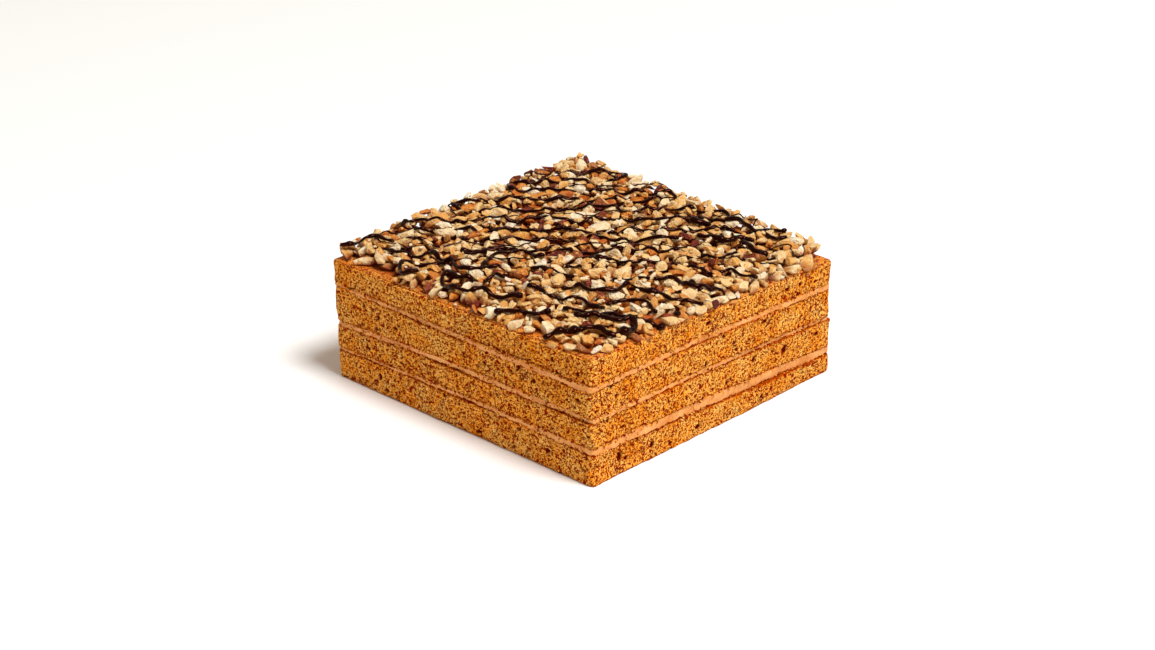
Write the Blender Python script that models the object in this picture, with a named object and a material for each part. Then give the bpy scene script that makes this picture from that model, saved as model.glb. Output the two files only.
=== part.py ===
"""Medovik, a square honey layer cake with chopped nuts and a chocolate drizzle on top.

Four honey sponges and three cream layers lie on each other. A thin coat of cream on the top sponge
holds the nuts, and the drizzle is piped over them, to and fro along one diagonal.

Metres, +Z up. The origin is the middle of the underside, and the cut sides run along X and Y.
Corner values are given in this order: (-X, -Y), (+X, -Y), (+X, +Y), (-X, +Y).
"""

import math
import random

import bmesh
import bpy
from mathutils import Euler, Matrix, Vector, noise
from mathutils.bvhtree import BVHTree

MM = 0.001

# Driving dimensions of the whole cake
SIDE = 170 * MM
HALF = SIDE / 2
CORNER_ROUND = 2.0 * MM
CORNER_SEGMENTS = 2
LEAN = (-0.9 * MM, -0.9 * MM)  # how far the top has settled sideways from the base
GAP = 0.3 * MM  # between neighbours that touch on the real cake
TOP_CORNERS = (62.2 * MM, 63.4 * MM, 59.3 * MM, 62.7 * MM)
MEAN_HEIGHT = sum(TOP_CORNERS) / 4

# Cream layers from the lowest up: the height of the middle of each, and its thickness.
# Each has its corner values, then how far it crowns half way along X and half way along Y.
CREAM_HEIGHTS = (
    ((15.2 * MM, 17.2 * MM, 11.2 * MM, 14.4 * MM), 1.5 * MM, 0.5 * MM),
    ((28.9 * MM, 32.7 * MM, 28.5 * MM, 30.2 * MM), 1.1 * MM, 1.0 * MM),
    ((49.4 * MM, 48.2 * MM, 44.8 * MM, 48.4 * MM), -0.7 * MM, 1.7 * MM),
)
CREAM_THICKNESSES = (
    ((1.6 * MM, 3.5 * MM, 4.6 * MM, 3.0 * MM), 0.0, 1.6 * MM),
    ((3.0 * MM, 2.6 * MM, 2.1 * MM, 2.6 * MM), 0.4 * MM, 0.4 * MM),
    ((1.6 * MM, 3.3 * MM, 3.5 * MM, 2.8 * MM), 0.6 * MM, -0.4 * MM),
)
CREAM_INSET = 0.4 * MM

# The cut sides are not quite flat
LAYER_CELLS = 8
SPONGE_ROWS = 2  # of faces up a cut side
CREAM_ROWS = 1
SIDE_WANDER = 1.3 * MM
WANDER_PER_M = (24.0, 24.0, 60.0)
WANDER_Y_APART = 31.7  # so that the two sides of a corner wander by themselves
SPONGE_APART = 2.0  # between the courses of one sponge and the next
CREAM_COURSE = 1.0  # above the course of the sponge below it
COAT_COURSE = 0.5
LEVEL_FACE = 0.5  # a face that points up or down by more than this is not of a cut side

# Coat of cream, and the heap of nuts on it
COAT_THICKNESS = 1.2 * MM
COAT_INSET = 0.9 * MM
COAT_CORNER_PULL = 1.0 * MM
HEAP_CELLS = 33  # every second point is a peak, so the bumps are as far apart as the nuts
HEAP_RISES_OVER = 5.0 * MM  # in from the coat's edge
HEAP_RIM = (0.6 * MM, 2.4 * MM)  # above the coat
HEAP_PEAKS = (3.6 * MM, 5.6 * MM)
HEAP_DIPS = (1.6 * MM, 3.2 * MM)
HEAP_JITTER = 1.0 * MM

# Larger nut pieces that stand out of the heap
NUT_ROWS = 8
NUT_EDGE_MARGIN = 3.5 * MM
NUT_JITTER = 5.5 * MM
NUT_LENGTHS = (7.0 * MM, 11.0 * MM)
NUT_WIDTHS = (5.0 * MM, 7.0 * MM)
NUT_THICKNESSES = (3.2 * MM, 4.4 * MM)
NUT_TILT = math.radians(20)
NUT_CHIPPING = (0.80, 1.12)
NUT_LIFT = 0.15  # of its half thickness: how far its middle stands above the heap
NUT_DEEPEST = 0.6 * MM  # a piece reaches no further down into the coat

# Drizzle: one zigzag of chocolate whose runs follow the diagonal from (-X, -Y) to (+X, +Y)
DRIZZLE_RADIUS = 1.0 * MM
DRIZZLE_PITCH = 12.6 * MM
DRIZZLE_EDGE_MARGIN = 3.0 * MM
DRIZZLE_STEP = 10.0 * MM
DRIZZLE_WAVE = 1.5 * MM
DRIZZLE_WAVELENGTH = 31.0 * MM
DRIZZLE_PHASE = 2.4  # radians between the waves of one run and the next
DRIZZLE_TURN_POINTS = 3
DRIZZLE_RIDES = 1.2 * MM  # its middle line, above what it lies on
DRIZZLE_SLACK = 0.1 * MM  # how far it sinks between two high nuts

SEED = 7
WELD = 0.01 * MM  # vertices nearer than this are one

SPONGE_COLOUR, SPONGE_ROUGHNESS = (0.46, 0.20, 0.045), 0.85
CREAM_COLOUR, CREAM_ROUGHNESS = (0.72, 0.38, 0.16), 0.5
NUT_COLOUR, NUT_ROUGHNESS = (0.62, 0.37, 0.14), 0.6


def clear_scene():
    for obj in list(bpy.data.objects):
        bpy.data.objects.remove(obj)


def new_collection(name):
    collection = bpy.data.collections.new(name)
    bpy.context.scene.collection.children.link(collection)
    return collection


def food_material(name, colour, roughness):
    material = bpy.data.materials.new(name)
    material.use_nodes = True
    shader = material.node_tree.nodes["Principled BSDF"]
    shader.inputs["Base Color"].default_value = (*colour, 1.0)
    shader.inputs["Roughness"].default_value = roughness
    shader.inputs["Metallic"].default_value = 0.0
    return material


def new_object(name, bm, collection, material=None):
    """Turn a finished bmesh into an object of the collection."""
    bmesh.ops.recalc_face_normals(bm, faces=bm.faces)
    mesh = bpy.data.meshes.new(name)
    bm.to_mesh(mesh)
    bm.free()
    if material:
        mesh.materials.append(material)
    obj = bpy.data.objects.new(name, mesh)
    collection.objects.link(obj)
    return obj


def over_corners(corners, x, y):
    """A value at (x, y), blended from its values at the cake's four corners."""
    u, v = x / HALF, y / HALF
    weights = ((1 - u) * (1 - v), (1 + u) * (1 - v), (1 + u) * (1 + v), (1 - u) * (1 + v))
    return sum(weight * value for weight, value in zip(weights, corners)) / 4


def crowned(shape, x, y):
    corners, crown_x, crown_y = shape
    u, v = x / HALF, y / HALF
    return over_corners(corners, x, y) + crown_x * (1 - u * u) + crown_y * (1 - v * v)


def cream_face(layer, side):
    """The upper (side 1) or lower (side -1) face of a cream layer, as a function of x and y."""

    def height(x, y):
        middle = crowned(CREAM_HEIGHTS[layer], x, y)
        return middle + side * crowned(CREAM_THICKNESSES[layer], x, y) / 2

    return height


def shifted(face, rise):
    return lambda x, y: face(x, y) + rise


def cake_top(x, y):
    """The plane along the top edges, which is the upper face of the coat of cream."""
    return over_corners(TOP_CORNERS, x, y)


def settle(point):
    """Shift a point sideways with its height, as the stack leans a little."""
    share = point.z / MEAN_HEIGHT - 0.5
    return Vector((point.x + LEAN[0] * share, point.y + LEAN[1] * share, point.z))


def wander(point, course):
    """How far a point of a cut side lies off the straight cut. Each layer has its own course."""
    spot = Vector([value * rate for value, rate in zip(point, WANDER_PER_M)])
    spot.z += course
    other_spot = spot + Vector((0.0, 0.0, WANDER_Y_APART))
    return Vector((noise.noise(spot), noise.noise(other_spot), 0.0)) * SIDE_WANDER


def cut_into_cells(bm, faces, half):
    """Cut faces along the lines of a square grid, so that they can follow an uneven layer."""
    for axis in (Vector((1, 0, 0)), Vector((0, 1, 0))):
        for cell in range(1, LAYER_CELLS):
            place = axis * half * (2 * cell / LAYER_CELLS - 1)
            edges = {edge for face in faces for edge in face.edges}
            verts = {vert for face in faces for vert in face.verts}
            geometry = [*faces, *edges, *verts]
            cut = bmesh.ops.bisect_plane(bm, geom=geometry, plane_co=place, plane_no=axis)["geom"]
            faces = [part for part in cut if isinstance(part, bmesh.types.BMFace)]
    return faces


def layer_slab(name, low, high, inset, course, side_rows, collection, material):
    """One layer of the cake, from a rounded box cut into cells that follow its lower and upper face."""
    half = HALF - inset
    bm = bmesh.new()
    bmesh.ops.create_cube(bm, size=2, matrix=Matrix.Diagonal((half, half, 1, 1)))
    upright = [e for e in bm.edges if abs(e.verts[0].co.z - e.verts[1].co.z) > 1]
    bmesh.ops.bevel(
        bm,
        geom=upright,
        offset=CORNER_ROUND,
        segments=CORNER_SEGMENTS,
        profile=0.5,
        affect="EDGES",
        material=-1,
    )
    cut_into_cells(bm, bm.faces[:], half)
    for row in range(1, side_rows):
        place = Vector((0, 0, 2 * row / side_rows - 1))
        geometry = bm.verts[:] + bm.edges[:] + bm.faces[:]
        bmesh.ops.bisect_plane(bm, geom=geometry, plane_co=place, plane_no=(0, 0, 1))
    bm.normal_update()
    cut_side = {v for f in bm.faces if abs(f.normal.z) < LEVEL_FACE for v in f.verts}
    for vert in bm.verts:
        x, y, level = vert.co
        bottom, top = low(x, y), high(x, y)
        point = Vector((x, y, bottom + (top - bottom) * (level + 1) / 2))
        if vert in cut_side:
            point += wander(point, course)
        vert.co = settle(point)
    return new_object(name, bm, collection, material)


def underside(x, y):
    return 0.0


def make_layers(collection):
    """The sponges and creams in turn, from the flat underside to the coat."""
    sponge = food_material("honey_sponge", SPONGE_COLOUR, SPONGE_ROUGHNESS)
    cream = food_material("caramel_cream", CREAM_COLOUR, CREAM_ROUGHNESS)
    low = underside
    course = 0.0
    for layer in range(len(CREAM_HEIGHTS)):
        cream_low, cream_high = cream_face(layer, -1), cream_face(layer, 1)
        high = shifted(cream_low, -GAP)
        name = f"sponge_{layer + 1}"
        layer_slab(name, low, high, 0.0, course, SPONGE_ROWS, collection, sponge)
        name = f"cream_{layer + 1}"
        cream_course = course + CREAM_COURSE
        layer_slab(
            name, cream_low, cream_high, CREAM_INSET, cream_course, CREAM_ROWS, collection, cream
        )
        low = shifted(cream_high, GAP)
        course += SPONGE_APART
    high = shifted(cake_top, -COAT_THICKNESS - GAP)
    name = f"sponge_{len(CREAM_HEIGHTS) + 1}"
    layer_slab(name, low, high, 0.0, course, SPONGE_ROWS, collection, sponge)


def heap_core(rng):
    """The coat of cream with the mass of nuts on it: a grid of bumps, closed below by a skirt."""
    half = HALF - COAT_INSET
    cell = 2 * half / HEAP_CELLS
    bm = bmesh.new()
    bmesh.ops.create_grid(bm, x_segments=HEAP_CELLS, y_segments=HEAP_CELLS, size=half)
    for vert in bm.verts:
        x, y, _ = vert.co
        is_peak = round((x + y) / cell) % 2 == 0
        rise = min(1.0, (half - max(abs(x), abs(y))) / HEAP_RISES_OVER)
        low, high = HEAP_PEAKS if is_peak else HEAP_DIPS
        point = Vector((x, y, cake_top(x, y)))
        if vert.is_boundary:
            point += wander(point, COAT_COURSE)
            point.z += rng.uniform(*HEAP_RIM)
        else:
            point.x += rng.uniform(-HEAP_JITTER, HEAP_JITTER)
            point.y += rng.uniform(-HEAP_JITTER, HEAP_JITTER)
            point.z += rise * rng.uniform(low, high)
        if min(abs(x), abs(y)) > half - COAT_CORNER_PULL:
            point.x -= math.copysign(COAT_CORNER_PULL, x)
            point.y -= math.copysign(COAT_CORNER_PULL, y)
        vert.co = settle(point)
    bmesh.ops.triangulate(bm, faces=bm.faces, quad_method="LONG_EDGE")
    bmesh.ops.extrude_edge_only(bm, edges=[e for e in bm.edges if e.is_boundary])
    base = bmesh.ops.holes_fill(bm, edges=[e for e in bm.edges if e.is_boundary])["faces"]
    base = cut_into_cells(bm, base, half)
    for vert in {vert for face in base for vert in face.verts}:
        vert.co.z = cake_top(vert.co.x, vert.co.y) - COAT_THICKNESS
    return bm


def surface_below(bm):
    """A function that gives the height of the bmesh's upper side at (x, y)."""
    tree = BVHTree.FromBMesh(bm)

    def height(x, y):
        hit = tree.ray_cast(Vector((x, y, 2 * MEAN_HEIGHT)), Vector((0, 0, -1)))[0]
        return hit.z if hit else cake_top(x, y)

    return height


def nut_piece(rng, x, y, ground):
    """A broken nut: a chipped, stretched ball of 20 faces, half sunk in the heap."""
    sizes = [rng.uniform(*span) / 2 for span in (NUT_LENGTHS, NUT_WIDTHS, NUT_THICKNESSES)]
    tilts = [rng.uniform(-NUT_TILT, NUT_TILT) for _ in range(2)]
    turn = Euler((*tilts, rng.uniform(0, math.tau))).to_matrix().to_4x4()
    place = Matrix.Translation((x, y, ground + NUT_LIFT * sizes[2]))
    bm = bmesh.new()
    bmesh.ops.create_icosphere(bm, subdivisions=1, radius=1)
    for vert in bm.verts:
        vert.co *= rng.uniform(*NUT_CHIPPING)
    bmesh.ops.transform(bm, verts=bm.verts, matrix=place @ turn @ Matrix.Diagonal((*sizes, 1)))
    depth = max(cake_top(vert.co.x, vert.co.y) - vert.co.z for vert in bm.verts)
    bmesh.ops.translate(bm, verts=bm.verts, vec=(0, 0, max(0.0, depth - NUT_DEEPEST)))
    return bm


def scatter_nuts(rng, heap_height, collection):
    """Nut pieces spread evenly over the heap, each near its own cell of a square grid."""
    reach = HALF - COAT_INSET - NUT_EDGE_MARGIN
    pitch = 2 * reach / (NUT_ROWS - 1)
    for row in range(NUT_ROWS):
        for column in range(NUT_ROWS):
            x = column * pitch - reach + rng.uniform(-NUT_JITTER, NUT_JITTER)
            y = row * pitch - reach + rng.uniform(-NUT_JITTER, NUT_JITTER)
            x = min(reach, max(-reach, x))
            y = min(reach, max(-reach, y))
            nut = nut_piece(rng, x, y, heap_height(x, y))
            new_object(f"nut_{row}_{column}", nut, collection)


def zigzag_route():
    """The drizzle's route seen from above: runs along the diagonal, joined by round turns."""
    along = Vector((1, 1)).normalized()
    across = Vector((-1, 1)).normalized()
    reach = (HALF - DRIZZLE_EDGE_MARGIN) * math.sqrt(2)
    runs = int(2 * reach / DRIZZLE_PITCH - 1)
    offsets = [DRIZZLE_PITCH * (run - (runs - 1) / 2) for run in range(runs)]
    turns = [reach - (abs(a) + abs(b) + DRIZZLE_PITCH) / 2 for a, b in zip(offsets, offsets[1:])]
    free_end = reach - abs(offsets[0])
    ends = [free_end, *turns, free_end]
    route = []
    for run, offset in enumerate(offsets):
        heading = 1 if run % 2 == 0 else -1
        start, end = ends[run], ends[run + 1]
        steps = max(2, round((start + end) / DRIZZLE_STEP))
        for step in range(steps + 1):
            s = heading * (-start + (start + end) * step / steps)
            phase = math.tau * s / DRIZZLE_WAVELENGTH + DRIZZLE_PHASE * run
            wave = DRIZZLE_WAVE * math.sin(phase)
            fade = math.sin(math.pi * step / steps)
            route.append(along * s + across * (offset + wave * fade))
        if run < runs - 1:
            middle = offset + DRIZZLE_PITCH / 2
            for point in range(1, DRIZZLE_TURN_POINTS + 1):
                angle = math.pi * point / (DRIZZLE_TURN_POINTS + 1)
                s = heading * (end + math.sin(angle) * DRIZZLE_PITCH / 2)
                route.append(along * s + across * (middle - math.cos(angle) * DRIZZLE_PITCH / 2))
    return route


def drizzle(route, top_height, collection):
    """A thick strand of chocolate that hangs a little between the nuts it lies on, as a closed mesh."""
    heights = [top_height(*point) for point in route]
    curve = bpy.data.curves.new("drizzle", "CURVE")
    curve.dimensions = "3D"
    curve.bevel_depth = DRIZZLE_RADIUS
    curve.bevel_resolution = 0
    curve.use_fill_caps = True
    spline = curve.splines.new("POLY")
    spline.points.add(len(route) - 1)
    for i, (x, y) in enumerate(route):
        beside = [heights[max(0, i - 1)], heights[min(len(route) - 1, i + 1)]]
        hung = max(heights[i], sum(beside) / 2 - DRIZZLE_SLACK)
        spline.points[i].co = (x, y, hung + DRIZZLE_RIDES, 1)
    guide = bpy.data.objects.new("drizzle_guide", curve)
    collection.objects.link(guide)
    bpy.context.view_layer.update()
    evaluated = guide.evaluated_get(bpy.context.evaluated_depsgraph_get())
    mesh = bpy.data.meshes.new_from_object(evaluated)
    bpy.data.objects.remove(guide)
    bm = bmesh.new()
    bm.from_mesh(mesh)
    bpy.data.meshes.remove(mesh)
    bmesh.ops.remove_doubles(bm, verts=bm.verts, dist=WELD)
    return new_object("drizzle", bm, collection)


def keep_largest_island(mesh):
    """Drop loose scraps, and fill hollows that the union has sealed, by keeping one connected skin."""
    bm = bmesh.new()
    bm.from_mesh(mesh)
    unseen = set(bm.verts)
    islands = []
    while unseen:
        island, edge_of_search = set(), [unseen.pop()]
        while edge_of_search:
            vert = edge_of_search.pop()
            island.add(vert)
            for edge in vert.link_edges:
                other = edge.other_vert(vert)
                if other in unseen:
                    unseen.remove(other)
                    edge_of_search.append(other)
        islands.append(island)
    islands.sort(key=len)
    for island in islands[:-1]:
        bmesh.ops.delete(bm, geom=list(island), context="VERTS")
    bm.to_mesh(mesh)
    bm.free()


def make_topping(collection):
    """The coat, the nuts and the drizzle, joined into one body."""
    rng = random.Random(SEED)
    pieces = new_collection("topping_pieces")
    core = heap_core(rng)
    heap_height = surface_below(core)
    scatter_nuts(rng, heap_height, pieces)
    everything = core.copy()
    for piece in pieces.objects:
        everything.from_mesh(piece.data)
    drizzle(zigzag_route(), surface_below(everything), pieces)
    everything.free()
    topping = new_object("nut_topping", core, collection, food_material("nuts", NUT_COLOUR, NUT_ROUGHNESS))
    union = topping.modifiers.new("join", "BOOLEAN")
    union.operation = "UNION"
    union.operand_type = "COLLECTION"
    union.collection = pieces
    union.solver = "EXACT"
    bpy.context.view_layer.update()
    evaluated = topping.evaluated_get(bpy.context.evaluated_depsgraph_get())
    joined = bpy.data.meshes.new_from_object(evaluated)
    topping.modifiers.remove(union)
    topping.data = joined
    for piece in list(pieces.objects):
        bpy.data.objects.remove(piece)
    bpy.data.collections.remove(pieces)
    keep_largest_island(joined)


def main():
    clear_scene()
    cake = new_collection("honey_cake")
    make_layers(cake)
    make_topping(cake)


main()
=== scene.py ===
# %% [markdown]
# # A honey cake under chopped nuts and chocolate
#
# A medovik is a stack of thin honey sponges with caramel cream between them. This one is cut
# square, so its sides show every layer, and its top is a thin coat of cream that holds chopped
# nuts under a drizzle of dark chocolate.
#
# The plain solids of the cake are loaded first. They give the place and the form of each layer.
# Every visible surface is then made anew around them: crumb with real pores, spread cream, some
# two thousand broken nuts, and strands of chocolate that lie on them.

# %% Load the solids of the cake
import math
import random

import bmesh
import bpy
import numpy as np
from mathutils import Matrix, Vector, noise
from mathutils.bvhtree import BVHTree


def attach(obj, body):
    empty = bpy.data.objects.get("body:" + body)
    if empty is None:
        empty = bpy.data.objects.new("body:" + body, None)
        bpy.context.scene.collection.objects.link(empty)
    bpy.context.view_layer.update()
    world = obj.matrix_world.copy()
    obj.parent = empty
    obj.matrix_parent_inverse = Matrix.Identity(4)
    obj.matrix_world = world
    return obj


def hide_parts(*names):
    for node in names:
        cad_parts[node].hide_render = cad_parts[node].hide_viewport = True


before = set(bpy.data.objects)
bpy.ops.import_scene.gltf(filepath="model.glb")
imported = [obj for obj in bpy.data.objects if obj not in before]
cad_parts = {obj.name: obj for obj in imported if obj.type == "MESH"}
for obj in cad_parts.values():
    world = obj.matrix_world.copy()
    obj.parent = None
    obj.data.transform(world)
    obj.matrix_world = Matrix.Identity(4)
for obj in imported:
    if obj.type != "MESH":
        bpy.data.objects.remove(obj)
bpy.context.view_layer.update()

MM = 0.001
HALF = 85 * MM  # from the cake's middle to a cut side
CORNER_ROUND = 2 * MM
SPONGES = ["sponge_1", "sponge_2", "sponge_3", "sponge_4"]  # from the lowest up
CREAMS = ["cream_1", "cream_2", "cream_3"]
print("solids:", ", ".join(sorted(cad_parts)))

# %% [markdown]
# ## Measuring the layers
#
# The cut sides of a real cake are never flat: each layer bulges and leans in its own way. The
# solids already have that, as coarse facets. We could subdivide those facets, but their creases
# would stay. Instead we read where the rims of each layer run, side by side, and later pass a
# smooth curve through those points. A merged copy of the node's mesh tells us which corner
# belongs to which rim: a rim is where an upright face meets a level one.

# %% Read the rims of a layer's four cut sides
WELD = 0.001 * MM
LEVEL = 0.5  # a face whose normal's height is beyond this is level
SQUARE_ON = math.cos(math.radians(11))  # turned further than this, a face belongs to a corner


def rim_of(vert):
    lifts = [face.normal.z for face in vert.link_faces]
    if max(lifts) > LEVEL:
        return "top"
    return "bottom" if min(lifts) < -LEVEL else "middle"


def cut_sides(node):
    """For each side, the points of its rims, as sorted rows of (along, outward, height)."""
    bm = bmesh.new()
    bm.from_mesh(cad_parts[node].data)
    bmesh.ops.remove_doubles(bm, verts=bm.verts, dist=WELD)
    bm.normal_update()
    sides = {}
    for axis in (0, 1):
        for sign in (-1, 1):
            rims = {}
            for face in bm.faces:
                facing = face.normal[axis] * sign
                if abs(face.normal.z) > LEVEL or facing < SQUARE_ON * face.normal.xy.length:
                    continue
                for vert in face.verts:
                    point = (vert.co[1 - axis], sign * vert.co[axis] - HALF, vert.co.z)
                    rims.setdefault(rim_of(vert), set()).add(point)
            sides[axis, sign] = {rim: np.array(sorted(points)) for rim, points in rims.items()}
    bm.free()
    return sides


measured = {node: cut_sides(node) for node in SPONGES + CREAMS}
for node, sides in measured.items():
    tops = np.concatenate([rims["top"][:, 2] for rims in sides.values()])
    bottoms = np.concatenate([rims["bottom"][:, 2] for rims in sides.values()])
    print(f"{node}: rims from {bottoms.min() / MM:.1f} to {tops.max() / MM:.1f} mm,",
          f"{np.mean(tops) / MM - np.mean(bottoms) / MM:.1f} mm thick on average")

# %% A smooth curve through measured points
def smooth_through(knots, values, at):
    """A smooth curve through measured values, read at other places: cubic Hermite pieces."""
    slopes = np.gradient(values, knots)
    at = np.clip(at, knots[0], knots[-1])
    i = np.clip(np.searchsorted(knots, at) - 1, 0, len(knots) - 2)
    step = knots[i + 1] - knots[i]
    t = (at - knots[i]) / step
    start = (2 * t**3 - 3 * t**2 + 1) * values[i] + (t**3 - 2 * t**2 + t) * step * slopes[i]
    end = (3 * t**2 - 2 * t**3) * values[i + 1] + (t**3 - t**2) * step * slopes[i + 1]
    return start + end


# %% Follow a rim all the way round
def round_square(columns):
    """Evenly spaced columns round the cake, seen from above: points, outward normals, spacing."""
    straight = 2 * (HALF - CORNER_ROUND)
    quarter = straight + math.pi / 2 * CORNER_ROUND  # one side and the corner after it
    side, along = np.divmod(np.arange(columns) * 4 * quarter / columns, quarter)
    turn = np.clip(along - straight, 0, None) / CORNER_ROUND
    spot = np.minimum(along, straight) - straight / 2 + CORNER_ROUND * np.sin(turn)
    out = -straight / 2 - CORNER_ROUND * np.cos(turn)
    facing = np.array((1, 1j, -1, -1j))[side.astype(int)]  # a quarter turn is a product with 1j
    points, normals = (spot + 1j * out) * facing, (np.sin(turn) - 1j * np.cos(turn)) * facing
    points, normals = [np.stack((flat.real, flat.imag), 1) for flat in (points, normals)]
    return points, normals, 4 * quarter / columns


def rim_line(node, rim, outline):
    """Where a layer's rim runs, at each column of the outline."""
    points, normals, _ = outline
    moved, heights = [], []
    for axis in (0, 1):
        along = points[:, 1 - axis]
        low, high = [smooth_side(node, axis, sign, rim, along) for sign in (-1, 1)]
        share = (points[:, axis] / HALF + 1) / 2
        moved.append(points[:, axis] + high[0] * share - low[0] * (1 - share))
        heights.append(np.where(normals[:, axis] > 0, high[1], low[1]))
    height = normals[:, 0] ** 2 * heights[0] + normals[:, 1] ** 2 * heights[1]
    return np.stack((*moved, height), 1)


def smooth_side(node, axis, sign, rim, at):
    """Outward offset and height of a rim along one side."""
    along, outward, height = measured[node][axis, sign][rim].T
    return smooth_through(along, outward, at), smooth_through(along, height, at)


# %% [markdown]
# ## A grid rolled into a wall
#
# Every layer shows us a closed wall, and so does a strand of chocolate, which is a thin wall
# rolled round a line. One helper makes them all: a grid of quads is rolled into a tube, its seam
# is welded, and its ends are closed. Its vertices keep their column and row, so that NumPy can
# place thousands of them at once. Building such walls one face at a time would be slow, and a
# subdivided cube would not follow the rims.

# %% Roll a grid and close it
SEAM = 1e-5  # far below one cell of a rolled grid, which is one unit high
INNER_RING = 0.5  # radius of the ring just inside each rim


def rolled_grid(columns, rows, ringed):
    """A closed tube of quads on the unit cylinder. Ringed ends get a strip before their cap."""
    bm = bmesh.new()
    bmesh.ops.create_grid(bm, x_segments=columns, y_segments=rows, size=0.5)
    for vert in bm.verts:
        angle = math.tau * (vert.co.x + 0.5)
        vert.co = (math.cos(angle), math.sin(angle), vert.co.y + 0.5)
    bmesh.ops.remove_doubles(bm, verts=bm.verts, dist=SEAM)
    if ringed:
        rims = [edge for edge in bm.edges if edge.is_boundary]
        strip = bmesh.ops.extrude_edge_only(bm, edges=rims)["geom"]
        ring = [part for part in strip if isinstance(part, bmesh.types.BMVert)]
        shrink = Matrix.Diagonal((INNER_RING, INNER_RING, 1, 1))
        bmesh.ops.transform(bm, matrix=shrink, verts=ring)
    bmesh.ops.holes_fill(bm, edges=[edge for edge in bm.edges if edge.is_boundary])
    bmesh.ops.recalc_face_normals(bm, faces=bm.faces)
    return bm


def finished_mesh(name, bm):
    mesh = bpy.data.meshes.new(name)
    bm.to_mesh(mesh)
    bm.free()
    return mesh


def points_of(mesh):
    points = np.empty(len(mesh.vertices) * 3, np.float32)
    mesh.vertices.foreach_get("co", points)
    return points.reshape(-1, 3).astype(float)


def rolled_places(points, columns, rows):
    """The column and row of each vertex of a rolled grid, and whether it is on an inner ring."""
    turn = np.arctan2(points[:, 1], points[:, 0]) / math.tau
    column = np.round(turn * columns).astype(int) % columns
    row = np.round(points[:, 2] * rows).astype(int)
    inner = np.hypot(points[:, 0], points[:, 1]) < (1 + INNER_RING) / 2
    return column, row, inner


# %% Give a finished mesh its place in the scene
def set_points(mesh, points):
    mesh.vertices.foreach_set("co", points.astype(np.float32).ravel())
    mesh.update()


def set_mask(mesh, name, values, domain="POINT"):
    """A number for each vertex or face, which a material can read with an Attribute node."""
    attribute = mesh.attributes.new(name, "FLOAT", domain)
    attribute.data.foreach_set("value", np.asarray(values, np.float32))


def add_piece(mesh, material, slot, *nodes):
    """Make the mesh a piece of the cake. It stands for the given solids, if any."""
    mesh.materials.append(material)
    piece = bpy.data.objects.new(mesh.name, mesh)
    bpy.context.scene.collection.objects.link(piece)
    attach(piece, "root")
    if nodes:
        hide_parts(*nodes)
    triangles = sum(len(polygon.vertices) - 2 for polygon in mesh.polygons)
    print(f"{mesh.name}: {len(mesh.vertices)} vertices, {triangles} triangles")
    return piece


# %% [markdown]
# ## Uneven colour, shared by all of the food
#
# No baked thing has one colour. It has patches as wide as a finger, where it browned more, and
# a fine grain. Both could be painted, but a painting needs UVs and a picture. Noise in object
# coordinates needs neither, and its bumps keep their real size on every piece. Several materials
# want it, so it is a node group, built once. It puts out a colour and a height for a Bump node.
# A few short helpers add nodes and hand back what these put out, so that a material reads like
# a sum.

# %% Short ways to add shader nodes
def add_node(tree, kind, inputs, **settings):
    """Add a node. Each input gets a plain value, or a link from another node's output."""
    node = tree.nodes.new(kind)
    for key, value in settings.items():
        setattr(node, key, value)
    for key, value in inputs.items():
        if isinstance(value, bpy.types.NodeSocket):
            tree.links.new(value, node.inputs[key])
        else:
            node.inputs[key].default_value = value
    return node


def noise_pattern(tree, per_metre, detail, roughness):
    place = tree.nodes.new("ShaderNodeTexCoord").outputs["Object"]
    inputs = {"Vector": place, "Scale": per_metre, "Detail": detail, "Roughness": roughness}
    return add_node(tree, "ShaderNodeTexNoise", inputs).outputs["Fac"]


def stretch(tree, value, low, high):
    """A value moved to run from 0 at low to 1 at high."""
    inputs = {"Value": value, "From Min": low, "From Max": high}
    return add_node(tree, "ShaderNodeMapRange", inputs).outputs["Result"]


def calculate(tree, operation, *values):
    inputs = dict(enumerate(values))
    return add_node(tree, "ShaderNodeMath", inputs, operation=operation).outputs["Value"]


def mix_colour(tree, factor, first, second):
    inputs = {0: factor, 6: first, 7: second}
    return add_node(tree, "ShaderNodeMix", inputs, data_type="RGBA").outputs[2]


# %% A node group for patches and grain
CONTRAST = (0.32, 0.68)  # between these the noise runs from one colour to the other


def new_group(name, inputs):
    """A node group with the given inputs: its tree, what it is given, and what it puts out."""
    tree = bpy.data.node_groups.new(name, "ShaderNodeTree")
    outputs = {"Colour": "Color", "Height": "Float"}
    for way, sockets in (("INPUT", inputs), ("OUTPUT", outputs)):
        for title, kind in sockets.items():
            tree.interface.new_socket(title, in_out=way, socket_type="NodeSocket" + kind)
    print("group", name, "has", ", ".join(item.name for item in tree.interface.items_tree))
    return tree, tree.nodes.new("NodeGroupInput").outputs, tree.nodes.new("NodeGroupOutput").inputs


def uneven_colour_group():
    tree, given, result = new_group("uneven_colour", {
        "Light": "Color", "Deep": "Color", "Patches per metre": "Float",
        "Grains per metre": "Float", "Grain share": "Float"})
    patches = noise_pattern(tree, given["Patches per metre"], detail=2.0, roughness=0.6)
    grains = noise_pattern(tree, given["Grains per metre"], detail=2.0, roughness=0.7)
    clear = [stretch(tree, pattern, *CONTRAST) for pattern in (patches, grains)]
    inputs = {0: given["Grain share"], 2: clear[0], 3: clear[1]}
    share = add_node(tree, "ShaderNodeMix", inputs, data_type="FLOAT").outputs[0]
    tree.links.new(mix_colour(tree, share, given["Light"], given["Deep"]), result["Colour"])
    tree.links.new(grains, result["Height"])
    return tree


UNEVEN_COLOUR = uneven_colour_group()


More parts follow.
